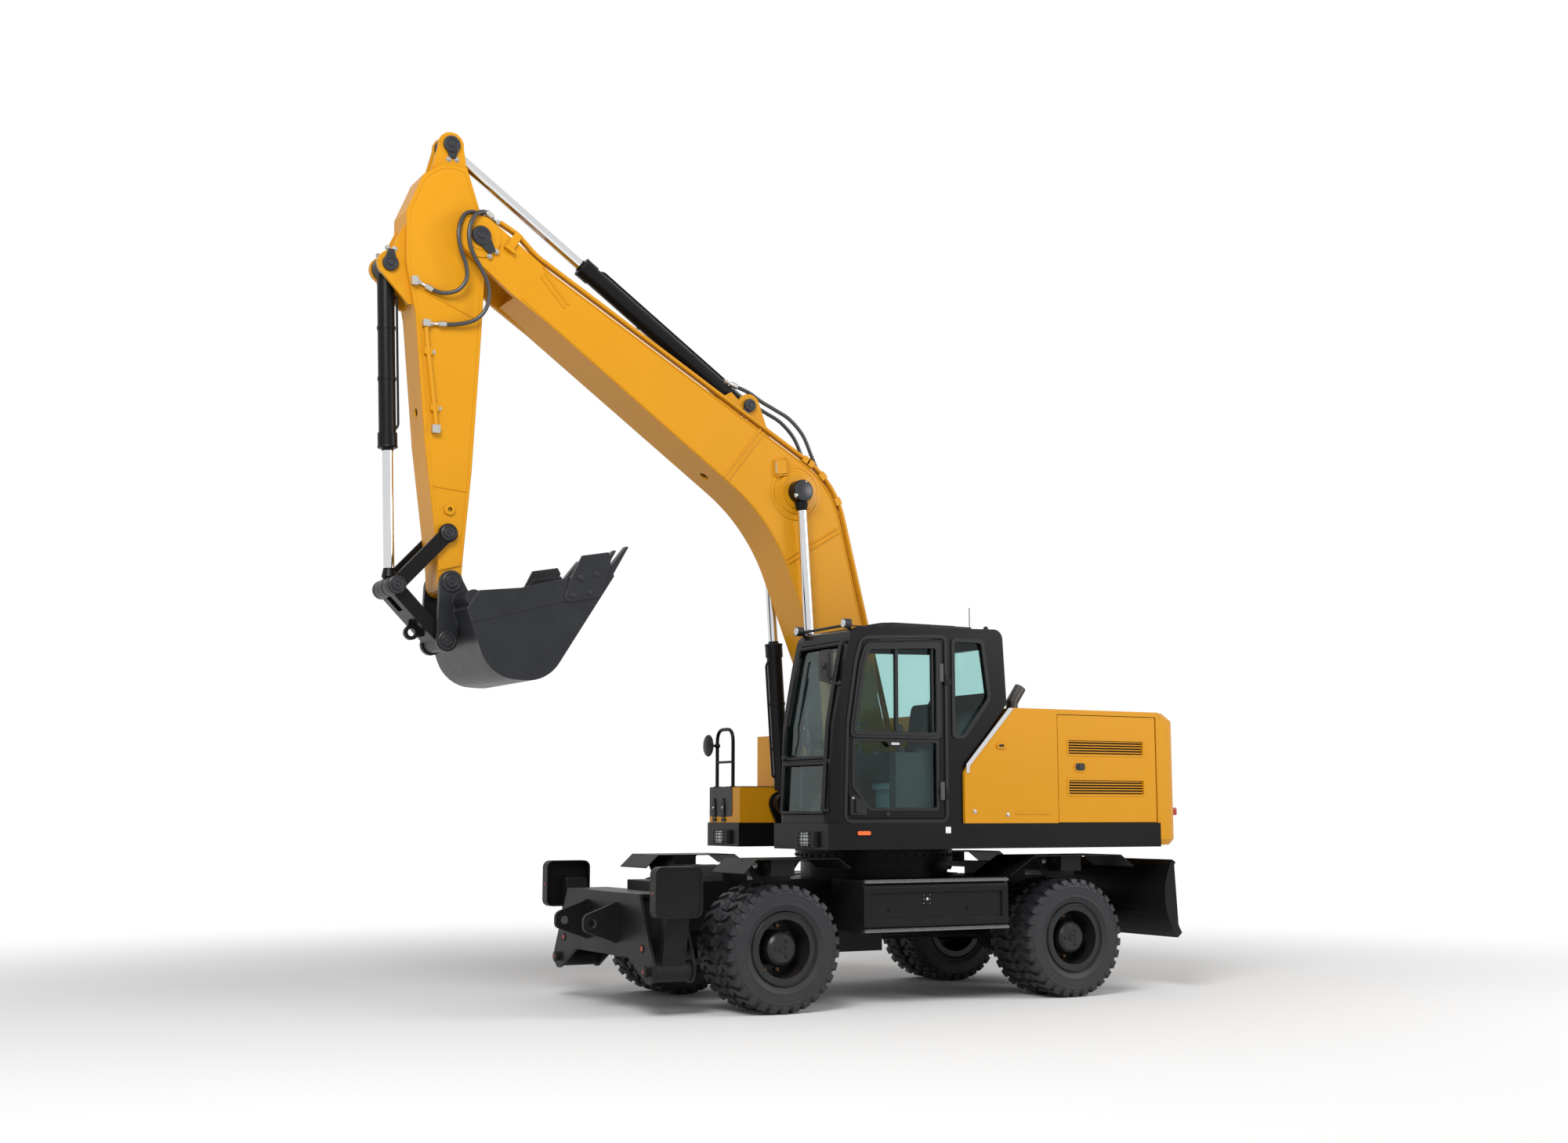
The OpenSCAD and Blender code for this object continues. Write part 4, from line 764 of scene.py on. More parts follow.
glass = bpy.data.materials.new("tinted_glass")
glass.use_nodes = True
pane = glass.node_tree.nodes["Principled BSDF"]
pane.inputs["Base Color"].default_value = (0.6, 0.8, 0.785, 1)
pane.inputs["Transmission Weight"].default_value = 1.0
pane.inputs["IOR"].default_value = 1.3
streaks = noise(glass.node_tree, glass.node_tree.nodes.new("ShaderNodeTexCoord"), 3, 5)
film = remap(glass.node_tree, streaks, 0.0, 0.02)
glass.node_tree.links.new(film.outputs["Result"], pane.inputs["Roughness"])
coat_nodes(glass, "cab_glass", "cab_door_glass")
chrome = surface("chrome", (0.8, 0.81, 0.82), 0.08, metal=1.0, vary=0.03, edge=0.002, grain=0.01)
seat_cloth = surface("seat_cloth", (0.03, 0.031, 0.034), 0.85, vary=0.3, scale=40, grain=0.6,
                     grain_scale=700)
pale_blue = surface("pale_blue_plastic", (0.3, 0.47, 0.53), 0.4, edge=0.003)
grey_plastic = surface("grey_plastic", (0.055, 0.056, 0.06), 0.5, grain=0.3, grain_scale=300)
coat_nodes(grey_plastic, "controls")

cab_in, cab_out = 0.3, 1.225
cab_mid = (cab_in + cab_out) / 2
door_window = [(0.1, 2.325), (0.938, 2.325), (0.93, 2.4), (0.85, 2.9), (0.8, 3.05), (0.1, 3.09)]
door_low_window = [(0.1, 1.68), (0.79, 1.68), (0.945, 1.87), (0.94, 2.255), (0.1, 2.255)]
door_frame = [(0.012, 1.582), (1.018, 1.582), (0.993, 2.392), (0.908, 2.944), (0.851, 3.128),
              (0.012, 3.173)]
quarter_window = [(-0.09, 2.315), (-0.09, 3.15), (-0.385, 3.15), (-0.455, 2.66), (-0.185, 2.315)]
# The windscreen's rake, as (height, distance forward)
cab_front = [(1.55, 1.19), (2.39, 1.135), (2.94, 1.03), (3.1, 0.993)]


def front_of_cab(z):
    """How far forward the windscreen's surface is at a height."""
    for (z0, x0), (z1, x1) in zip(cab_front, cab_front[1:]):
        if z <= z1:
            return x0 + (x1 - x0) * (z - z0) / (z1 - z0)
    return cab_front[-1][1]


def inset(outline, d):
    """A counter-clockwise outline moved inwards by d."""
    n = len(outline)
    moved = []
    for i in range(n):
        a, b, c = (Vector(outline[k % n]) for k in (i - 1, i, i + 1))
        m = Vector((-(b - a).y, (b - a).x)).normalized()
        k = Vector((-(c - b).y, (c - b).x)).normalized()
        point = b + d * (m + k) / max(0.3, 1 + m.dot(k))
        moved.append((point.x, point.y))
    return moved


def add_seal(bm, window, outside, outer_r, inside, inner_r, depth, start=0.0):
    """A flat seal round a window of the cab's side, from outside its edge to inside it."""
    outer = softened(inset(window, -outside), outer_r)
    inner = softened(inset(window, inside), inner_r)
    add_band(bm, outer, inner, depth, cab_side, start)


cab_side = left_face(0, cab_out, 0)
door_trim = bmesh.new()
add_seal(door_trim, door_window, 0.045, 0.06, 0.004, 0.03, 0.016)
add_seal(door_trim, door_window, 0.02, 0.05, 0.012, 0.03, 0.022, start=0.012)
add_seal(door_trim, door_low_window, 0.02, 0.03, 0.006, 0.02, 0.005)
kick_plate = [(0.99, 1.79), (0.935, 1.79), (0.824, 1.7), (0.828, 1.622), (0.99, 1.622)]
grip_cup = [(0.628, 2.25), (0.455, 2.25), (0.49, 2.208), (0.594, 2.208)]
add_prism(door_trim, softened(kick_plate, 0.015), 0.018, cab_side)
add_prism(door_trim, rounded(0.9, 1.64, 0.945, 1.755, 0.012), 0.034, cab_side, 0.016)
add_prism(door_trim, softened(grip_cup, 0.012), 0.02, cab_side)
add_prism(door_trim, rounded(0.135, 2.33, 0.152, 3.085, 0.005), 0.012, cab_side, -0.02)
add_prism(door_trim, rounded(0.5, 2.33, 0.53, 3.066, 0.006), 0.012, cab_side, -0.02)
add_lathe(door_trim, [(0, 0), (0.024, 0), (0.022, 0.008), (0, 0.01)], left_face(0.61, cab_out, 1.632), 20)
piece("door_trim", door_trim, rubber, "cab_door")
pull = bmesh.new()
add_prism(pull, rounded(0.5, 2.222, 0.584, 2.242, 0.008), 0.026, cab_side, 0.018)
add_lathe(pull, [(0, 0.018), (0.008, 0.018), (0.008, 0.022), (0, 0.023)], left_face(0.965, cab_out, 1.765),
          12)
piece("door_pull", pull, chrome, "cab_door")
hinges = bmesh.new()
for z in (1.752, 2.784):
    add_prism(hinges, rounded(0.032, z, 0.072, z + 0.158, 0.006), 0.02, cab_side)
piece("hinge_covers", hinges, grey_plastic, "cab_door")

seals = bmesh.new()
add_seal(seals, quarter_window, 0.028, 0.05, 0.006, 0.03, 0.01)
add_band(seals, softened(inset(door_frame, -0.03), 0.09), softened(door_frame, 0.05), 0.007, cab_side)
screen_left, screen_right = cab_out - 0.095, cab_in + 0.095
for z0, z1 in ((1.64, 2.06), (2.11, 3.09)):
    levels = [z0 + (z1 - z0) * i / 8 for i in range(9)]
    loop = [spot(front_of_cab(z) + 0.006, screen_left, z) for z in levels]
    loop += [spot(front_of_cab(z) + 0.006, screen_right, z) for z in reversed(levels)]
    add_pipe(seals, bent(loop + [loop[0]], 0.07), 0.016, 10)
grab_levels = [1.66 + 0.12 * i for i in range(13)]
grab_rail = [spot(front_of_cab(z) + 0.055, cab_out - 0.035, z) for z in grab_levels]
into_cab = Vector((-0.06, 0, 0))
grab_rail = [grab_rail[0] + into_cab] + grab_rail + [grab_rail[-1] + into_cab]
add_pipe(seals, bent(grab_rail, 0.03), 0.014, 10)
roof_rail = [spot(0.93, cab_in + 0.05, 3.21), spot(0.96, cab_in + 0.08, 3.25),
             spot(0.96, cab_out - 0.1, 3.25), spot(0.93, cab_out - 0.07, 3.21)]
add_pipe(seals, bent(roof_rail, 0.04), 0.013, 10)
roof_plane = top_face(0, 0, 3.25)
add_prism(seals, rounded(-0.42, cab_in + 0.14, 0.55, cab_out - 0.14, 0.08), 0.05, roof_plane)
add_prism(seals, rounded(-0.3, cab_in + 0.24, 0.42, cab_out - 0.24, 0.06), 0.066, roof_plane)
roof_plug = [(0, 0), (0.024, 0), (0.022, 0.02), (0.012, 0.032), (0, 0.034)]
for x, y, z in ((0.62, 1.14, 3.245), (0.1, 1.14, 3.26), (-0.5, 1.14, 3.275), (0.62, 0.4, 3.245),
                (-0.5, 0.4, 3.275)):
    add_lathe(seals, roof_plug, top_face(x, y, z), 16)
wiper_y, wiper_z = 0.42, 2.12
wiper_arm = ((0.035, wiper_y, wiper_z), (0.05, 0.45, 2.3), (0.05, 0.47, 2.86))
add_pipe(seals, [spot(front_of_cab(z) + off, y, z) for off, y, z in wiper_arm], 0.007, 8)
add_pipe(seals, [spot(front_of_cab(z) + 0.028, 0.475, z) for z in (2.4, 2.6, 2.8, 3.0)], 0.009, 6)
add_lathe(seals, [(0, 0), (0.03, 0), (0.03, 0.03), (0.018, 0.045), (0, 0.045)],
          front_face(front_of_cab(wiper_z), wiper_y, wiper_z), 20)
aerial_x, aerial_y = -0.488, 0.9
add_pipe(seals, [spot(aerial_x, aerial_y, z) for z in (3.27, 3.5)], 0.004, 8)
add_lathe(seals, [(0, 0), (0.02, 0), (0.014, 0.03), (0, 0.034)], top_face(aerial_x, aerial_y, 3.272), 14)
piece("cab_seals_and_rails", seals, rubber, "upper")
strip = bmesh.new()
strip_line = [(-0.71, 2.572), (-0.655, 2.572), (-0.19, 2.066), (-0.19, 1.99), (-0.222, 1.99),
              (-0.226, 2.05)]
add_prism(strip, strip_line, 0.008, side_plane)
piece("chrome_strip", strip, chrome, "upper")

mirror_y, mirror_z, arm_y, arm_z = cab_out - 0.13, 2.895, cab_out - 0.03, 2.74
mirror = bmesh.new()
mirror_plane = front_face(1.13, mirror_y, mirror_z)
for inner, start, depth in ((0.0, 0.004, 0.024), (0.018, 0.02, 0.03), (0.04, 0.028, 0.0345)):
    add_prism(mirror, rounded(-0.11 + inner, -0.135 + inner, 0.11 - inner, 0.135 - inner, 0.05 - inner / 2),
              depth, mirror_plane, start)
mirror_arm = [spot(1.055, arm_y, arm_z), spot(1.11, arm_y, 2.735), spot(1.19, cab_out - 0.09, 2.76),
              spot(1.2, mirror_y, 2.85), spot(1.165, mirror_y, mirror_z)]
add_pipe(mirror, bent(mirror_arm, 0.05), 0.011, 10)
arm_ball = [(0, -0.026), (0.016, -0.022), (0.026, 0), (0.016, 0.022), (0, 0.026)]
for ball in (front_face(1.06, arm_y, arm_z), front_face(1.17, mirror_y, mirror_z)):
    add_lathe(mirror, arm_ball, ball, 16)
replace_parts(piece("door_mirror", mirror, lamp_black, "upper"), "cab_mirror")
roof_glass = bmesh.new()
for y in (cab_in + 0.045, cab_out - 0.05):
    add_lathe(roof_glass, [(0, -0.002), (0.037, -0.002), (0.034, 0.004), (0, 0.007)],
              front_face(1.015, y, 3.26), 24)
piece("roof_lamp_lenses", roof_glass, lens, "upper")

seam_at, seam_width, seam_depth = 0.09, 0.01, 0.006


def add_cushion(bm, size, place, crown, edge=0.045, cells=14):
    """A stuffed pad: a box whose faces swell by crown, with two sewn channels in its top. Its sides
    pull in towards the seam at half height."""
    half = Vector(size) / 2
    box = bmesh.new()
    bmesh.ops.create_cube(box, size=2)
    bmesh.ops.subdivide_edges(box, edges=box.edges, cuts=cells, use_grid_fill=True)
    for v in box.verts:
        u = [max(-1, min(1, c)) for c in v.co]
        core = Vector([max(-(h - edge), min(h - edge, c * h)) for c, h in zip(u, half)])
        out = Vector([c * h for c, h in zip(u, half)]) - core
        if out.length > 1e-9:
            out = out.normalized() * edge
        swell = crown * (1 - u[0] ** 4) * (1 - u[1] ** 4) * (1 if u[2] > 0 else 0.25) * u[2]
        pull = 1 - 0.05 * max(0, 1 - abs(u[2]) * 1.6)
        seams = sum(math.exp(-((u[0] * half[0] - c) / seam_width) ** 2) for c in (-seam_at, seam_at))
        channel = -seam_depth * seams * max(0, u[2])
        v.co = Vector(((core.x + out.x) * pull, (core.y + out.y) * pull, core.z + out.z + swell + channel))
    mesh = bpy.data.meshes.new("pad")
    box.to_mesh(mesh)
    box.free()
    mesh.transform(place)
    bm.from_mesh(mesh)
    bpy.data.meshes.remove(mesh)


cab_floor = 1.605
console_top = cab_floor + 0.56
seat_at = Vector((slew_x + 0.2, cab_mid, cab_floor))
lean = math.radians(8)
seat_back_turn = Matrix.Translation(seat_at) @ Matrix.Rotation(-lean, 4, "Y")
cushion = bmesh.new()
add_cushion(cushion, (0.47, 0.48, 0.12), Matrix.Translation(seat_at + Vector((0.02, 0, 0.365))), 0.022)
cushion = piece("seat_cushion", cushion, seat_cloth, "upper", crease=60)
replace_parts(cushion, "seat")
back = bmesh.new()
add_cushion(back, (0.6, 0.46, 0.11), seat_back_turn @ Matrix.Translation((-0.18, 0, 0.745))
            @ Matrix.Rotation(math.radians(90), 4, "Y"), 0.02)
back = piece("seat_back", back, seat_cloth, "upper", crease=60)
pedestal = bmesh.new()
for low, high, half in ((0.0, 0.05, 0.2), (0.05, 0.24, 0.165), (0.24, 0.3, 0.2)):
    add_prism(pedestal, rounded(-half, -0.16, half, 0.16, 0.04), high, Matrix.Translation(seat_at), low)
piece("seat_pedestal", pedestal, pale_blue, "upper")
levers = bmesh.new()
lever = [(0, 0), (0.045, 0), (0.04, 0.02), (0.014, 0.06), (0.01, 0.09), (0.01, 0.12), (0.024, 0.14),
         (0.027, 0.2), (0.022, 0.24), (0, 0.25)]
for y in (cab_in + 0.1275, cab_out - 0.1275):
    add_lathe(levers, lever, top_face(0.4, y, console_top), 16)
    add_prism(levers, rounded(-0.06, y - 0.04, 0.25, y + 0.04, 0.03), 0.03, top_face(0, 0, console_top))
for y in (cab_mid - 0.16, cab_mid + 0.16):
    pedal = facing(spot(0.95, y, cab_floor + 0.12), (0, 1, 0), (-0.5, 0, 0.87), (-0.87, 0, -0.5))
    add_prism(levers, rounded(-0.06, -0.1, 0.06, 0.1, 0.02), 0.018, pedal)
    add_pipe(levers, [spot(0.95, y, cab_floor + 0.11), spot(1.02, y, cab_floor)], 0.012, 8)
screen = facing(spot(0.98, cab_in + 0.13, 2.3), (0.3, 0.95, 0), (0, 0, 1), (-0.95, 0.3, 0))
add_prism(levers, rounded(-0.1, -0.075, 0.1, 0.075, 0.02), 0.035, screen)
add_pipe(levers, [spot(0.99, cab_in + 0.13, 2.25), spot(1.0, cab_in + 0.1, 1.62)], 0.012, 8)
piece("levers_and_pedals", levers, grey_plastic, "upper")

# Boom
# A bent box boom of yellow plate, on pins with black caps. Oil pipes run along its top edge in
# clamps, ribs stiffen its sides, and a lamp sits in a folded bracket at the knee.

boom_y, boom_half = -0.15, 0.25
boom_left, boom_right = boom_y + boom_half, boom_y - boom_half
boom_foot = (0.005, 1.96)
stick_pin = (3.98, 6.543)
boom_rod_eye = (0.882, 4.574)
boom_cyl_base = (0.69, 1.73)
arm_base = (1.316, 5.372)
arm_eye = (4.206, 7.371)
bucket_base = (4.725, 6.23)
bucket_pin = (4.152, 3.548)
rocker_pin = (4.186, 3.96)
link_pin = (4.615, 3.5)
link_eye = (4.181, 3.056)


def corner_arc(a, b, c, r, steps=12):
    """Points of an arc of radius r that rounds the corner at b."""
    a, b, c = Vector(a), Vector(b), Vector(c)
    u, v = (a - b).normalized(), (c - b).normalized()
    half = u.angle(v) / 2
    middle = b + (u + v).normalized() * r / math.sin(half)
    p, q = b + u * r / math.tan(half) - middle, b + v * r / math.tan(half) - middle
    start = math.atan2(p.y, p.x)
    turn = (math.atan2(q.y, q.x) - start + 3 * math.pi) % (2 * math.pi) - math.pi
    return [middle + r * Vector((math.cos(start + turn * i / steps), math.sin(start + turn * i / steps)))
            for i in range(steps + 1)]


def offset_line(line, d):
    """A line of [x, z] points moved to its left by d."""
    moved = []
    for i, p in enumerate(line):
        run = line[min(i + 1, len(line) - 1)] - line[max(i - 1, 0)]
        moved.append(p + d * Vector((-run.y, run.x)).normalized())
    return moved


top_bend = corner_arc((-0.18, 2.01), (0.497, 4.691), (3.488, 6.41), 0.8)
under_bend = corner_arc((0.225, 2.01), (1.137, 4.295), (3.712, 6.121), 1.7)
top_line = [Vector((-0.107, 2.3))] + top_bend + [Vector((3.4, 6.36))]
under_line = [Vector((0.28, 2.2))] + under_bend + [Vector((3.6, 6.04))]

cap_black = surface("pin_cap_black", (0.02, 0.021, 0.025), 0.34, edge=0.004, shine=0.45)


def pin_cap(dark, bolts, at, y, side, r, tail, length):
    """A forged retainer on a pin's end: round cap, ringed face, and a tail with two bolts."""
    face = side_face(side)
    plane = face(at[0], y, at[1])
    way = Vector((math.cos(math.radians(tail)), math.sin(math.radians(tail))))
    across = Vector((-way.y, way.x))
    add_lathe(dark, [(0, 0), (r, 0), (r, 0.026), (0.86 * r, 0.036), (0.62 * r, 0.036), (0.58 * r, 0.03),
                     (0.4 * r, 0.03), (0.34 * r, 0.038), (0, 0.04)], plane, 32)
    flag = [way * 0.5 * r + across * 0.75 * r, way * length + across * 0.34 * r,
            way * length - across * 0.34 * r, way * 0.5 * r - across * 0.75 * r]
    add_prism(dark, [(p.x, p.y) for p in flag], 0.022, plane)
    for s in (-1, 1):
        p = way * (length + 0.01) + across * s * 0.46 * r
        add_bolt(bolts, face(at[0] + p.x, y, at[1] + p.y), 0.016)


weld_in, weld_r, rib_r = 0.012, 0.008, 0.011
weld_feet = Vector((0.019, 2.75)), Vector((0.508, 2.75))
# The ends of each pair of ribs, and the gap between the two
side_ribs = (((1.213, 5.105), (1.591, 4.625), 0.05), ((0.423, 4.237), (0.967, 3.906), 0.045),
             ((3.2, 6.02), (3.42, 6.27), 0.05))
knee_boss = [(0.15, 0), (0.262, 0), (0.256, 0.008), (0.236, 0.01), (0.226, 0.004), (0.205, 0.006),
             (0.196, 0.02), (0.15, 0.026)]
nose_boss = [(0.1, 0), (0.188, 0), (0.182, 0.012), (0.12, 0.014)]
boom_trim = bmesh.new()
boom_dark = bmesh.new()
boom_bolts = bmesh.new()
for side, y in ((1, boom_left), (-1, boom_right)):
    face = side_face(side)
    for line, d, weld_foot in ((top_line, -weld_in, weld_feet[0]), (under_line, weld_in, weld_feet[1])):
        weld = [weld_foot] + offset_line(line, d)[1:]
        add_pipe(boom_trim, [spot(p.x, y, p.y) for p in weld], weld_r, 8)
    for a, b, gap in side_ribs:
        run = (Vector(b) - Vector(a)).normalized()
        across = Vector((-run.y, run.x))
        for shift_by in (0, gap):
            p, q = Vector(a) + across * shift_by, Vector(b) + across * shift_by
            add_pipe(boom_trim, [spot(p.x, y, p.y), spot(q.x, y, q.y)], rib_r, 8)
    add_lathe(boom_trim, knee_boss, face(boom_rod_eye[0], y, boom_rod_eye[1]), 64)
    add_lathe(boom_trim, nose_boss, face(stick_pin[0], y, stick_pin[1]), 48)
    pin_cap(boom_dark, boom_bolts, stick_pin, y + side * 0.02, side, 0.085, 232, 0.17)
    pin_cap(boom_dark, boom_bolts, arm_base, boom_y + side * 0.146, side, 0.06, -60, 0.11)

pipe_lift, pipe_gap, knee_pipe_y = 0.045, 0.045, 0.085
pipe_line = offset_line(top_line, pipe_lift)
pipe_nose = [Vector((3.46, 6.45)), Vector((3.64, 6.62)), Vector((3.8, 6.7))]
for y in (boom_left - 0.001, boom_left - 0.001 - pipe_gap):
    route = [spot(p.x, y, p.y) for p in pipe_line[:-1] + pipe_nose]
    add_pipe(boom_trim, bent(route, 0.06), 0.017, 10)
for y in (boom_y - knee_pipe_y, boom_y + knee_pipe_y):
    add_pipe(boom_trim, [spot(p.x, y, p.y) for p in offset_line(top_line[:6], 0.024)], 0.016, 10)
clamp_top = 0.024
on_clamp = Matrix(((1, 0, 0, 0), (0, 0, 1, clamp_top), (0, 1, 0, 0), (0, 0, 0, 1)))
clamps = (0, 4, 9, 12, 13)
for i in clamps:
    p = pipe_line[i]
    run = pipe_line[min(i + 1, clamps[-1])] - pipe_line[max(i - 1, 0)]
    turn = math.atan2(run.y, run.x)
    plane = facing(spot(p.x, boom_left - 0.0235, p.y), (math.cos(turn), 0, math.sin(turn)),
                   (-math.sin(turn), 0, math.cos(turn)), (0, 1, 0))
    add_prism(boom_trim, rounded(-0.035, -0.04, 0.035, clamp_top, 0.008), 0.04, plane, -0.04)
    add_bolt(boom_bolts, plane @ on_clamp, 0.012)
boom_side = left_face(0, boom_left, 0)
add_prism(boom_trim, [(3.6, 6.6), (3.66, 6.64), (3.76, 6.47), (3.7, 6.43)], 0.02, boom_side, 0.012)
add_prism(boom_trim, [(3.69, 6.425), (3.77, 6.475), (3.75, 6.5), (3.67, 6.45)], 0.05, boom_side)
foot_cap = [(0, 0), (0.115, 0), (0.11, 0.014), (0.06, 0.018), (0.05, 0.012), (0, 0.012)]
for side in (-1, 1):
    add_lathe(boom_dark, foot_cap, side_face(side)(boom_foot[0], boom_y + side * 0.293, boom_foot[1]), 40)
lamp_lens = bmesh.new()
lamp_front = facing(spot(1.099, boom_left, 4.7875), (0, 1, 0), (0.064, 0, 0.998), (0.998, 0, -0.064))
add_prism(lamp_lens, rounded(0.011, -0.055, 0.033, 0.055, 0.006), 0.004, lamp_front)
piece("boom_lamp_lens", lamp_lens, lens, "boom")
piece("boom_ribs_and_pipes", boom_trim, golden, "boom")
piece("boom_pin_caps", boom_dark, cap_black, "boom")
piece("boom_bolts", boom_bolts, zinc, "boom")

# Cylinders
# Black steel barrels with bolted glands, bands and an oil pipe each, and hard-chromed rods that
# end in black eyes.

coat_nodes(upper_black, "boom_barrels", "arm_barrel", "bucket_barrel", "rocker", "h_link")
coat_nodes(chrome, "boom_rods", "arm_rod", "bucket_rod", "blade_rods")
gland_bolts = 8


def dress_cylinder(name, base, eye, offsets, r, length, rod_r, eye_r, eye_half, pipe_side, neck):
    """Gland, bands and pipe on each barrel, wiper ring and black eye on each rod."""
    tube, ends = bmesh.new(), bmesh.new()
    way = (Vector(eye) - Vector(base)).normalized()
    span = (Vector(eye) - Vector(base)).length
    gland = [(rod_r + 0.001, -0.02), (r + 0.012, -0.02), (r + 0.014, -0.008), (r + 0.004, 0),
             (rod_r + 0.004, 0.002), (rod_r + 0.004, 0.02), (rod_r + 0.001, 0.021)]
    band = [(r - 0.002, -0.016), (r + 0.006, -0.014), (r + 0.006, 0.014), (r - 0.002, 0.016)]
    eye_end, eye_rim = eye_half + 0.0015, eye_r + 0.002
    oil_pipe = ((r - 0.01, 0.24), (r + 0.022, 0.26), (r + 0.022, length - 0.2), (r - 0.01, length - 0.16))
    for dy in offsets:
        axis = facing(spot(base[0], boom_y + dy, base[1]), (way.y, 0, -way.x), (0, 1, 0), (way.x, 0, way.y))
        lift = Matrix.Translation((0, 0, length))
        add_lathe(tube, gland, axis @ lift, 40)
        for along in (0.34, 0.62):
            add_lathe(tube, band, axis @ Matrix.Translation((0, 0, along * length)), 40)
        gland_bolt = bmesh.new()
        add_bolt(gland_bolt, Matrix.Translation((r + 0.001, 0, 0)), 0.009)
        add_copies(tube, gland_bolt, gland_bolts, upper_black,
                   axis @ lift @ Matrix.Translation((0, 0, -0.02)), turn=2 * math.pi / gland_bolts)
        route = [axis @ Vector((pipe_side * off, 0, along)) for off, along in oil_pipe]
        add_pipe(tube, bent(route, 0.03), 0.011, 8)
        add_lathe(ends, [(0, -eye_end), (eye_rim, -eye_end), (eye_rim, eye_end), (0, eye_end)],
                  left_face(eye[0], boom_y + dy, eye[1]), 40)
        if neck:
            add_lathe(ends, [(rod_r + 0.002, 0), (rod_r + 0.018, -0.02), (rod_r + 0.002, -neck)],
                      axis @ Matrix.Translation((0, 0, span - eye_r + 0.01)), 32)
    piece(name + "_fittings", tube, upper_black, name)
    return ends


boom_eyes = dress_cylinder("boom_barrels", boom_cyl_base, boom_rod_eye, offsets=(-0.345, 0.345), r=0.072,
                           length=1.5, rod_r=0.045, eye_r=0.1, eye_half=0.05, pipe_side=1, neck=0.09)
arm_eyes = dress_cylinder("arm_barrel", arm_base, arm_eye, offsets=(0,), r=0.082, length=1.98, rod_r=0.05,
                          eye_r=0.1, eye_half=0.055, pipe_side=-1, neck=0)
bucket_eyes = dress_cylinder("bucket_barrel", bucket_base, link_pin, offsets=(0,), r=0.072, length=1.56,
                             rod_r=0.045, eye_r=0.08, eye_half=0.045, pipe_side=1, neck=0.09)
piece("boom_rod_eyes", boom_eyes, upper_black, "boom_rods")
piece("arm_rod_eye", arm_eyes, upper_black, "arm_rod")
piece("bucket_rod_eye", bucket_eyes, upper_black, "bucket_rod")
rod_cap = [(0, 0), (0.095, 0), (0.095, 0.012), (0.08, 0.02), (0, 0.02)]
eye_caps = bmesh.new()
eye_bolts = bmesh.new()
for side in (-1, 1):
    face = side_face(side)
    add_lathe(eye_caps, rod_cap, face(boom_rod_eye[0], boom_y + side * 0.3965, boom_rod_eye[1]), 40)
    for u, v in ((-0.02, 0.075), (0.08, -0.05)):
        add_bolt(eye_bolts, face(boom_rod_eye[0] + u, boom_y + side * 0.4, boom_rod_eye[1] + v), 0.014)
piece("boom_rod_caps", eye_caps, cap_black, "boom_rods")
piece("boom_rod_bolts", eye_bolts, zinc, "boom_rods")

# Stick
# A tapering yellow box with a raised rim round its sides, black caps on its pins, and an oil pipe
# down its left side from a steel block.

stick_half = 0.175
stick_left, stick_right = boom_y + stick_half, boom_y - stick_half
stick_rim = [(3.925, 5.7), (3.984, 4.494), (4.048, 3.7), (4.252, 3.64), (4.284, 3.889), (4.401, 4.73),
             (4.508, 5.814), (4.6, 6.25), (4.61, 6.7), (4.47, 7.04), (4.3, 7.16), (4.085, 7.16),
             (3.95, 6.76), (3.9, 6.42)]
rim_outer = softened(inset(stick_rim, 0.004), 0.06)
rim_inner = softened(inset(stick_rim, 0.03), 0.06)
grease_boss = [(0.02, 0), (0.05, 0), (0.046, 0.02), (0.02, 0.022)]
stick_welds = (((4.02, 4.33), (4.33, 4.356)), ((3.965, 5.83), (4.47, 6.03)))
stick_trim = bmesh.new()
stick_dark = bmesh.new()
stick_bolts = bmesh.new()
for side, y in ((1, stick_left), (-1, stick_right)):
    face = side_face(side)
    add_band(stick_trim, rim_outer, rim_inner, 0.0035, face(0, y, 0))
    add_lathe(stick_trim, grease_boss, face(4.172, y, 4.164), 24)
    for ends in stick_welds:
        add_pipe(stick_trim, [spot(x, y, z) for x, z in ends], 0.009, 8)
    pin_cap(stick_dark, stick_bolts, arm_eye, boom_y + side * 0.101, side, 0.075, 264, 0.12)
    pin_cap(stick_dark, stick_bolts, bucket_base, boom_y + side * 0.131, side, 0.068, 92, 0.12)
stick_side = left_face(0, stick_left, 0)
stick_pipe = ((4.42, 5.73), (4.4, 5.55), (4.315, 4.93), (4.31, 4.86))
add_pipe(stick_trim, bent([spot(x, stick_left + 0.02, z) for x, z in stick_pipe], 0.05), 0.02, 10)
for z in (5.5, 5.02):
    x = 4.4 - (5.55 - z) * 0.137
    add_prism(stick_trim, rounded(x - 0.035, z - 0.03, x + 0.035, z + 0.03, 0.006), 0.03, stick_side)
    add_bolt(stick_bolts, left_face(x - 0.05, stick_left, z), 0.013)
for x0, z0, x1, z1 in ((4.28, 4.8, 4.35, 4.87), (4.392, 5.705, 4.452, 5.765), (4.505, 6.05, 4.56, 6.125)):
    add_prism(stick_bolts, rounded(x0, z0, x1, z1, 0.008), 0.05, stick_side)
piece("stick_rim_and_pipe", stick_trim, golden, "stick")
piece("stick_pin_caps", stick_dark, cap_black, "stick")
piece("stick_fittings", stick_bolts, zinc, "stick")

# Linkage and bucket
# Black bars turn the bucket through ringed pins. The bucket is welded plate with bolted side
# cutters and teeth, its paint rubbed bright along the edges.

bucket_black = surface("bucket_black", (0.014, 0.015, 0.018), 0.34, rub=(0.09, 0.09, 0.09), edge=0.007,
                       vary=0.3, scale=5, shine=0.3)
coat_nodes(bucket_black, "bucket")
rocker_half, ear_half, cutter_half = 0.22, 0.225, 0.59


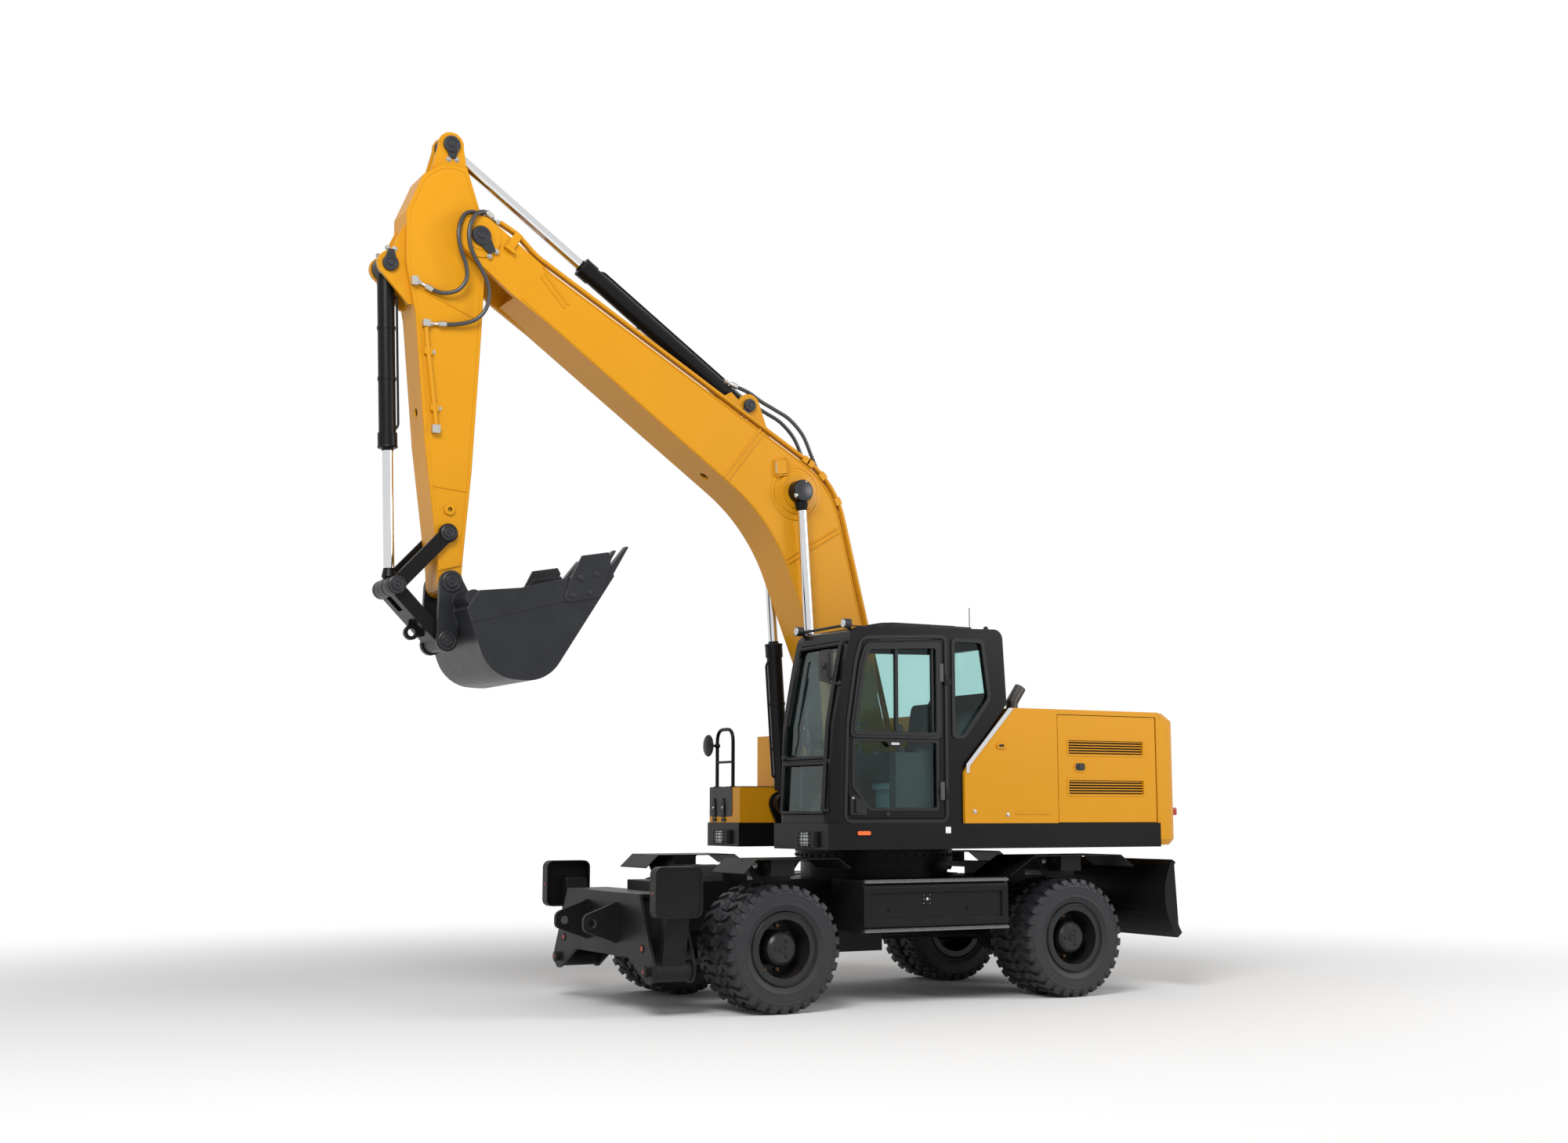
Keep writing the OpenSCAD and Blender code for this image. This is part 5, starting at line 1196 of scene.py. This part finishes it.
def ringed_end(bm, at, half, side, r):
    """A pin's turned end with rings on its face, half the pin's length from the boom's plane."""
    add_lathe(bm, [(0, 0), (r, 0), (r, 0.012), (0.86 * r, 0.018), (0.8 * r, 0.01), (0.62 * r, 0.01),
                   (0.56 * r, 0.024), (0.4 * r, 0.026), (0.36 * r, 0.018), (0.2 * r, 0.018),
                   (0.16 * r, 0.03), (0, 0.03)], side_face(side)(at[0], boom_y + side * half, at[1]), 40)


rocker_ends = bmesh.new()
bucket_ends = bmesh.new()
bucket_bolts = bmesh.new()
for side in (-1, 1):
    ringed_end(rocker_ends, rocker_pin, rocker_half, side, 0.068)
    ringed_end(rocker_ends, link_pin, rocker_half, side, 0.075)
    ringed_end(bucket_ends, bucket_pin, ear_half, side, 0.085)
    ringed_end(bucket_ends, link_eye, ear_half, side, 0.08)
    for x, z in ((3.151, 3.603), (3.005, 3.639), (3.213, 3.45), (3.067, 3.48)):
        add_bolt(bucket_bolts, side_face(side)(x, boom_y + side * cutter_half, z), 0.018)
piece("rocker_pin_ends", rocker_ends, cap_black, "rocker")
piece("bucket_pin_ends", bucket_ends, bucket_black, "bucket")
piece("cutter_bolts", bucket_bolts, bucket_black, "bucket")

# Hoses
# Rubber hoses in black spiral sheaths, crimped into bright steel ends, take oil across the joints
# from the boom's pipes to the stick, and from the boom to the arm cylinder.

hose_black = surface("hose_sheath", (0.035, 0.036, 0.038), 0.3, edge=0.001, grain=0.1, shine=0.6)
hose_width, sheath_pitch, sheath_ridge = 0.042, 0.0095, 0.006


def flowing(knots, spacing):
    """A smooth route through knots, cut into steps of about one spacing."""
    ends = [2 * knots[0] - knots[1]] + knots + [2 * knots[-1] - knots[-2]]
    fine = []
    for a, b, c, d in zip(ends, ends[1:], ends[2:], ends[3:]):
        for i in range(40):
            t = i / 40
            fine.append(0.5 * (2 * b + (c - a) * t + (2 * a - 5 * b + 4 * c - d) * t * t
                               + (3 * b - a - 3 * c + d) * t ** 3))
    fine.append(knots[-1])
    route = [fine[0]]
    for point in fine:
        if (point - route[-1]).length >= spacing:
            route.append(point)
    route.append(fine[-1])
    return route


def hose(name, knots, diameter, a, b):
    """A sheathed hose through knots from body a to body b, with a steel end at each end that rides on its
    body.
    """
    route = flowing([spot(*knot) for knot in knots], sheath_pitch)
    tube = bmesh.new()
    add_pipe(tube, route, diameter / 2, 12, ridge=sheath_ridge)
    sheath = piece(name, tube, hose_black, None, crease=70)
    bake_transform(sheath)
    r = diameter / 2
    crimp = [(r + 0.001, -0.075), (r + 0.005, -0.07), (r + 0.005, -0.01), (0.8 * r, 0.0), (0.62 * r, 0.006),
             (0.62 * r, 0.05), (0, 0.05)]
    nut = [(0, 0.045), (0.95 * r, 0.045), (0.95 * r, 0.075), (0, 0.077)]
    for label, body, tip, before in (("_from", a, route[0], route[4]), ("_to", b, route[-1], route[-5])):
        ferrule = bmesh.new()
        way = (tip - before).normalized()
        side = way.orthogonal().normalized()
        plane = facing(tip, side, way.cross(side), way)
        add_lathe(ferrule, crimp, plane, 20)
        add_lathe(ferrule, nut, plane, 6)
        piece(name + label + "_end", ferrule, zinc, body)


upper_route = [(3.87, 0.054, 6.727), (3.97, 0.06, 6.76), (4.09, 0.09, 6.742), (4.165, 0.135, 6.645),
               (4.19, 0.155, 6.52), (4.165, 0.15, 6.39), (4.115, 0.14, 6.27), (4.1, 0.125, 6.15),
               (4.16, 0.1, 6.05), (4.27, 0.075, 6.01), (4.37, 0.055, 6.03), (4.44, 0.05, 6.06)]
lower_route = [(3.87, 0.099, 6.727), (3.95, 0.118, 6.762), (4.04, 0.15, 6.715), (4.095, 0.168, 6.6),
               (4.1, 0.17, 6.48), (4.06, 0.165, 6.36), (3.98, 0.155, 6.24), (3.915, 0.14, 6.12),
               (3.9, 0.125, 5.99), (3.935, 0.105, 5.88), (4.02, 0.085, 5.8), (4.16, 0.065, 5.755),
               (4.32, 0.05, 5.74)]
hose("stick_hose_upper", upper_route, hose_width, "boom", "stick")
hose("stick_hose_lower", lower_route, hose_width, "boom", "stick")
for label, side in (("left", 1), ("right", -1)):
    y, on_barrel = boom_y + side * knee_pipe_y, boom_y + side * 0.06
    knee_route = [(0.471, y, 4.568), (0.505, y, 4.7), (0.555, y, 4.83), (0.625, y, 4.985),
                  (0.715, y, 5.165), (0.855, y, 5.3), (1.01, y, 5.375), (1.15, y, 5.435),
                  (1.28, y, 5.505), (1.38, on_barrel, 5.55), (1.465, on_barrel, 5.578)]
    hose("knee_hose_" + label, knee_route, hose_width, "boom", "arm_barrel")

# Studio
# A pale floor that fades to white, under a bright overcast sky. One large soft lamp hangs high beside
# the camera, and a weaker one stands off to the camera's right.

floor_half, fade_from, fade_to = 60, 4.5, 13
floor_mesh = bpy.data.meshes.new("floor")
floor_corners = [(-floor_half, -floor_half, 0), (floor_half, -floor_half, 0), (floor_half, floor_half, 0),
                 (-floor_half, floor_half, 0)]
floor_mesh.from_pydata(floor_corners, [], [(0, 1, 2, 3)])
floor = bpy.data.objects.new("floor", floor_mesh)
bpy.context.scene.collection.objects.link(floor)
floor_paper = bpy.data.materials.new("floor_paper")
floor_paper.use_nodes = True
floor_tree = floor_paper.node_tree
paper = floor_tree.nodes["Principled BSDF"]
paper.inputs["Base Color"].default_value = (0.88, 0.88, 0.88, 1)
paper.inputs["Roughness"].default_value = 0.9
floor_at = floor_tree.nodes.new("ShaderNodeTexCoord")
away = floor_tree.nodes.new("ShaderNodeVectorMath")
away.operation = "LENGTH"
fade = remap(floor_tree, away.outputs["Value"], 0.0, 1.0, start=fade_from, end=fade_to)
fade.interpolation_type = "SMOOTHSTEP"
haze = floor_tree.nodes.new("ShaderNodeEmission")
both = floor_tree.nodes.new("ShaderNodeMixShader")
wire(floor_tree,
     (floor_at.outputs["Object"], away.inputs[0]),
     (fade.outputs["Result"], both.inputs["Fac"]),
     (paper.outputs["BSDF"], both.inputs[1]),
     (haze.outputs["Emission"], both.inputs[2]),
     (both.outputs["Shader"], floor_tree.nodes["Material Output"].inputs["Surface"]))
floor_mesh.materials.append(floor_paper)
floor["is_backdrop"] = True

# The sky is white to the camera, through glass and mostly in reflections, and dimmer as light
dim_sky, bright_sky, mirrored_sky = 0.4, 1.0, 0.7
world = bpy.data.worlds.new("overcast")
bpy.context.scene.world = world
world.use_nodes = True
sky_tree = world.node_tree
sky = sky_tree.nodes["Background"]
sky.inputs["Color"].default_value = (1, 1, 1, 1)
ray = sky_tree.nodes.new("ShaderNodeLightPath")
seen = reckon(sky_tree, "MAXIMUM", ray.outputs["Is Camera Ray"], ray.outputs["Is Transmission Ray"])
mirrored = reckon(sky_tree, "MULTIPLY_ADD", ray.outputs["Is Glossy Ray"], mirrored_sky,
                  seen.outputs["Value"])
mirrored.use_clamp = True
level = remap(sky_tree, mirrored.outputs["Value"], dim_sky, bright_sky)
sky_tree.links.new(level.outputs["Result"], sky.inputs["Strength"])


def soft_lamp(name, place, towards, size, watts):
    lamp = bpy.data.lights.new(name, "AREA")
    lamp.shape = "DISK"
    lamp.size = size
    lamp.energy = watts
    obj = bpy.data.objects.new(name, lamp)
    bpy.context.scene.collection.objects.link(obj)
    obj.location = place
    obj.rotation_mode = "QUATERNION"
    obj.rotation_quaternion = (Vector(towards) - Vector(place)).to_track_quat("-Z", "Y")


soft_lamp("key_lamp", (9, 10, 12), (0, 0, 2.5), size=7, watts=1700)
soft_lamp("fill_lamp", (-10, 9, 7), (0, 0, 2), size=6, watts=700)

# Camera
# It stands low, off the machine's left front corner, and looks slightly up, as in the photo.

picture_width, focal_pixels = 2001, 2342.4
cam_data = bpy.data.cameras.new("camera")
cam_data.sensor_width = 36
cam_data.lens = focal_pixels / picture_width * cam_data.sensor_width
cam_data.clip_end = 500
cam = bpy.data.objects.new("camera", cam_data)
bpy.context.scene.collection.objects.link(cam)
cam.location = spot(9.041, 14.705, 1.636)
yaw, pitch_up = math.radians(28.82), math.radians(7.51)
look = Vector((-math.sin(yaw) * math.cos(pitch_up), -math.cos(yaw) * math.cos(pitch_up),
               math.sin(pitch_up)))
cam.rotation_mode = "QUATERNION"
cam.rotation_quaternion = look.to_track_quat("-Z", "Y")
bpy.context.scene.camera = cam
bpy.context.scene.view_settings.view_transform = "Standard"

low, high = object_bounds()
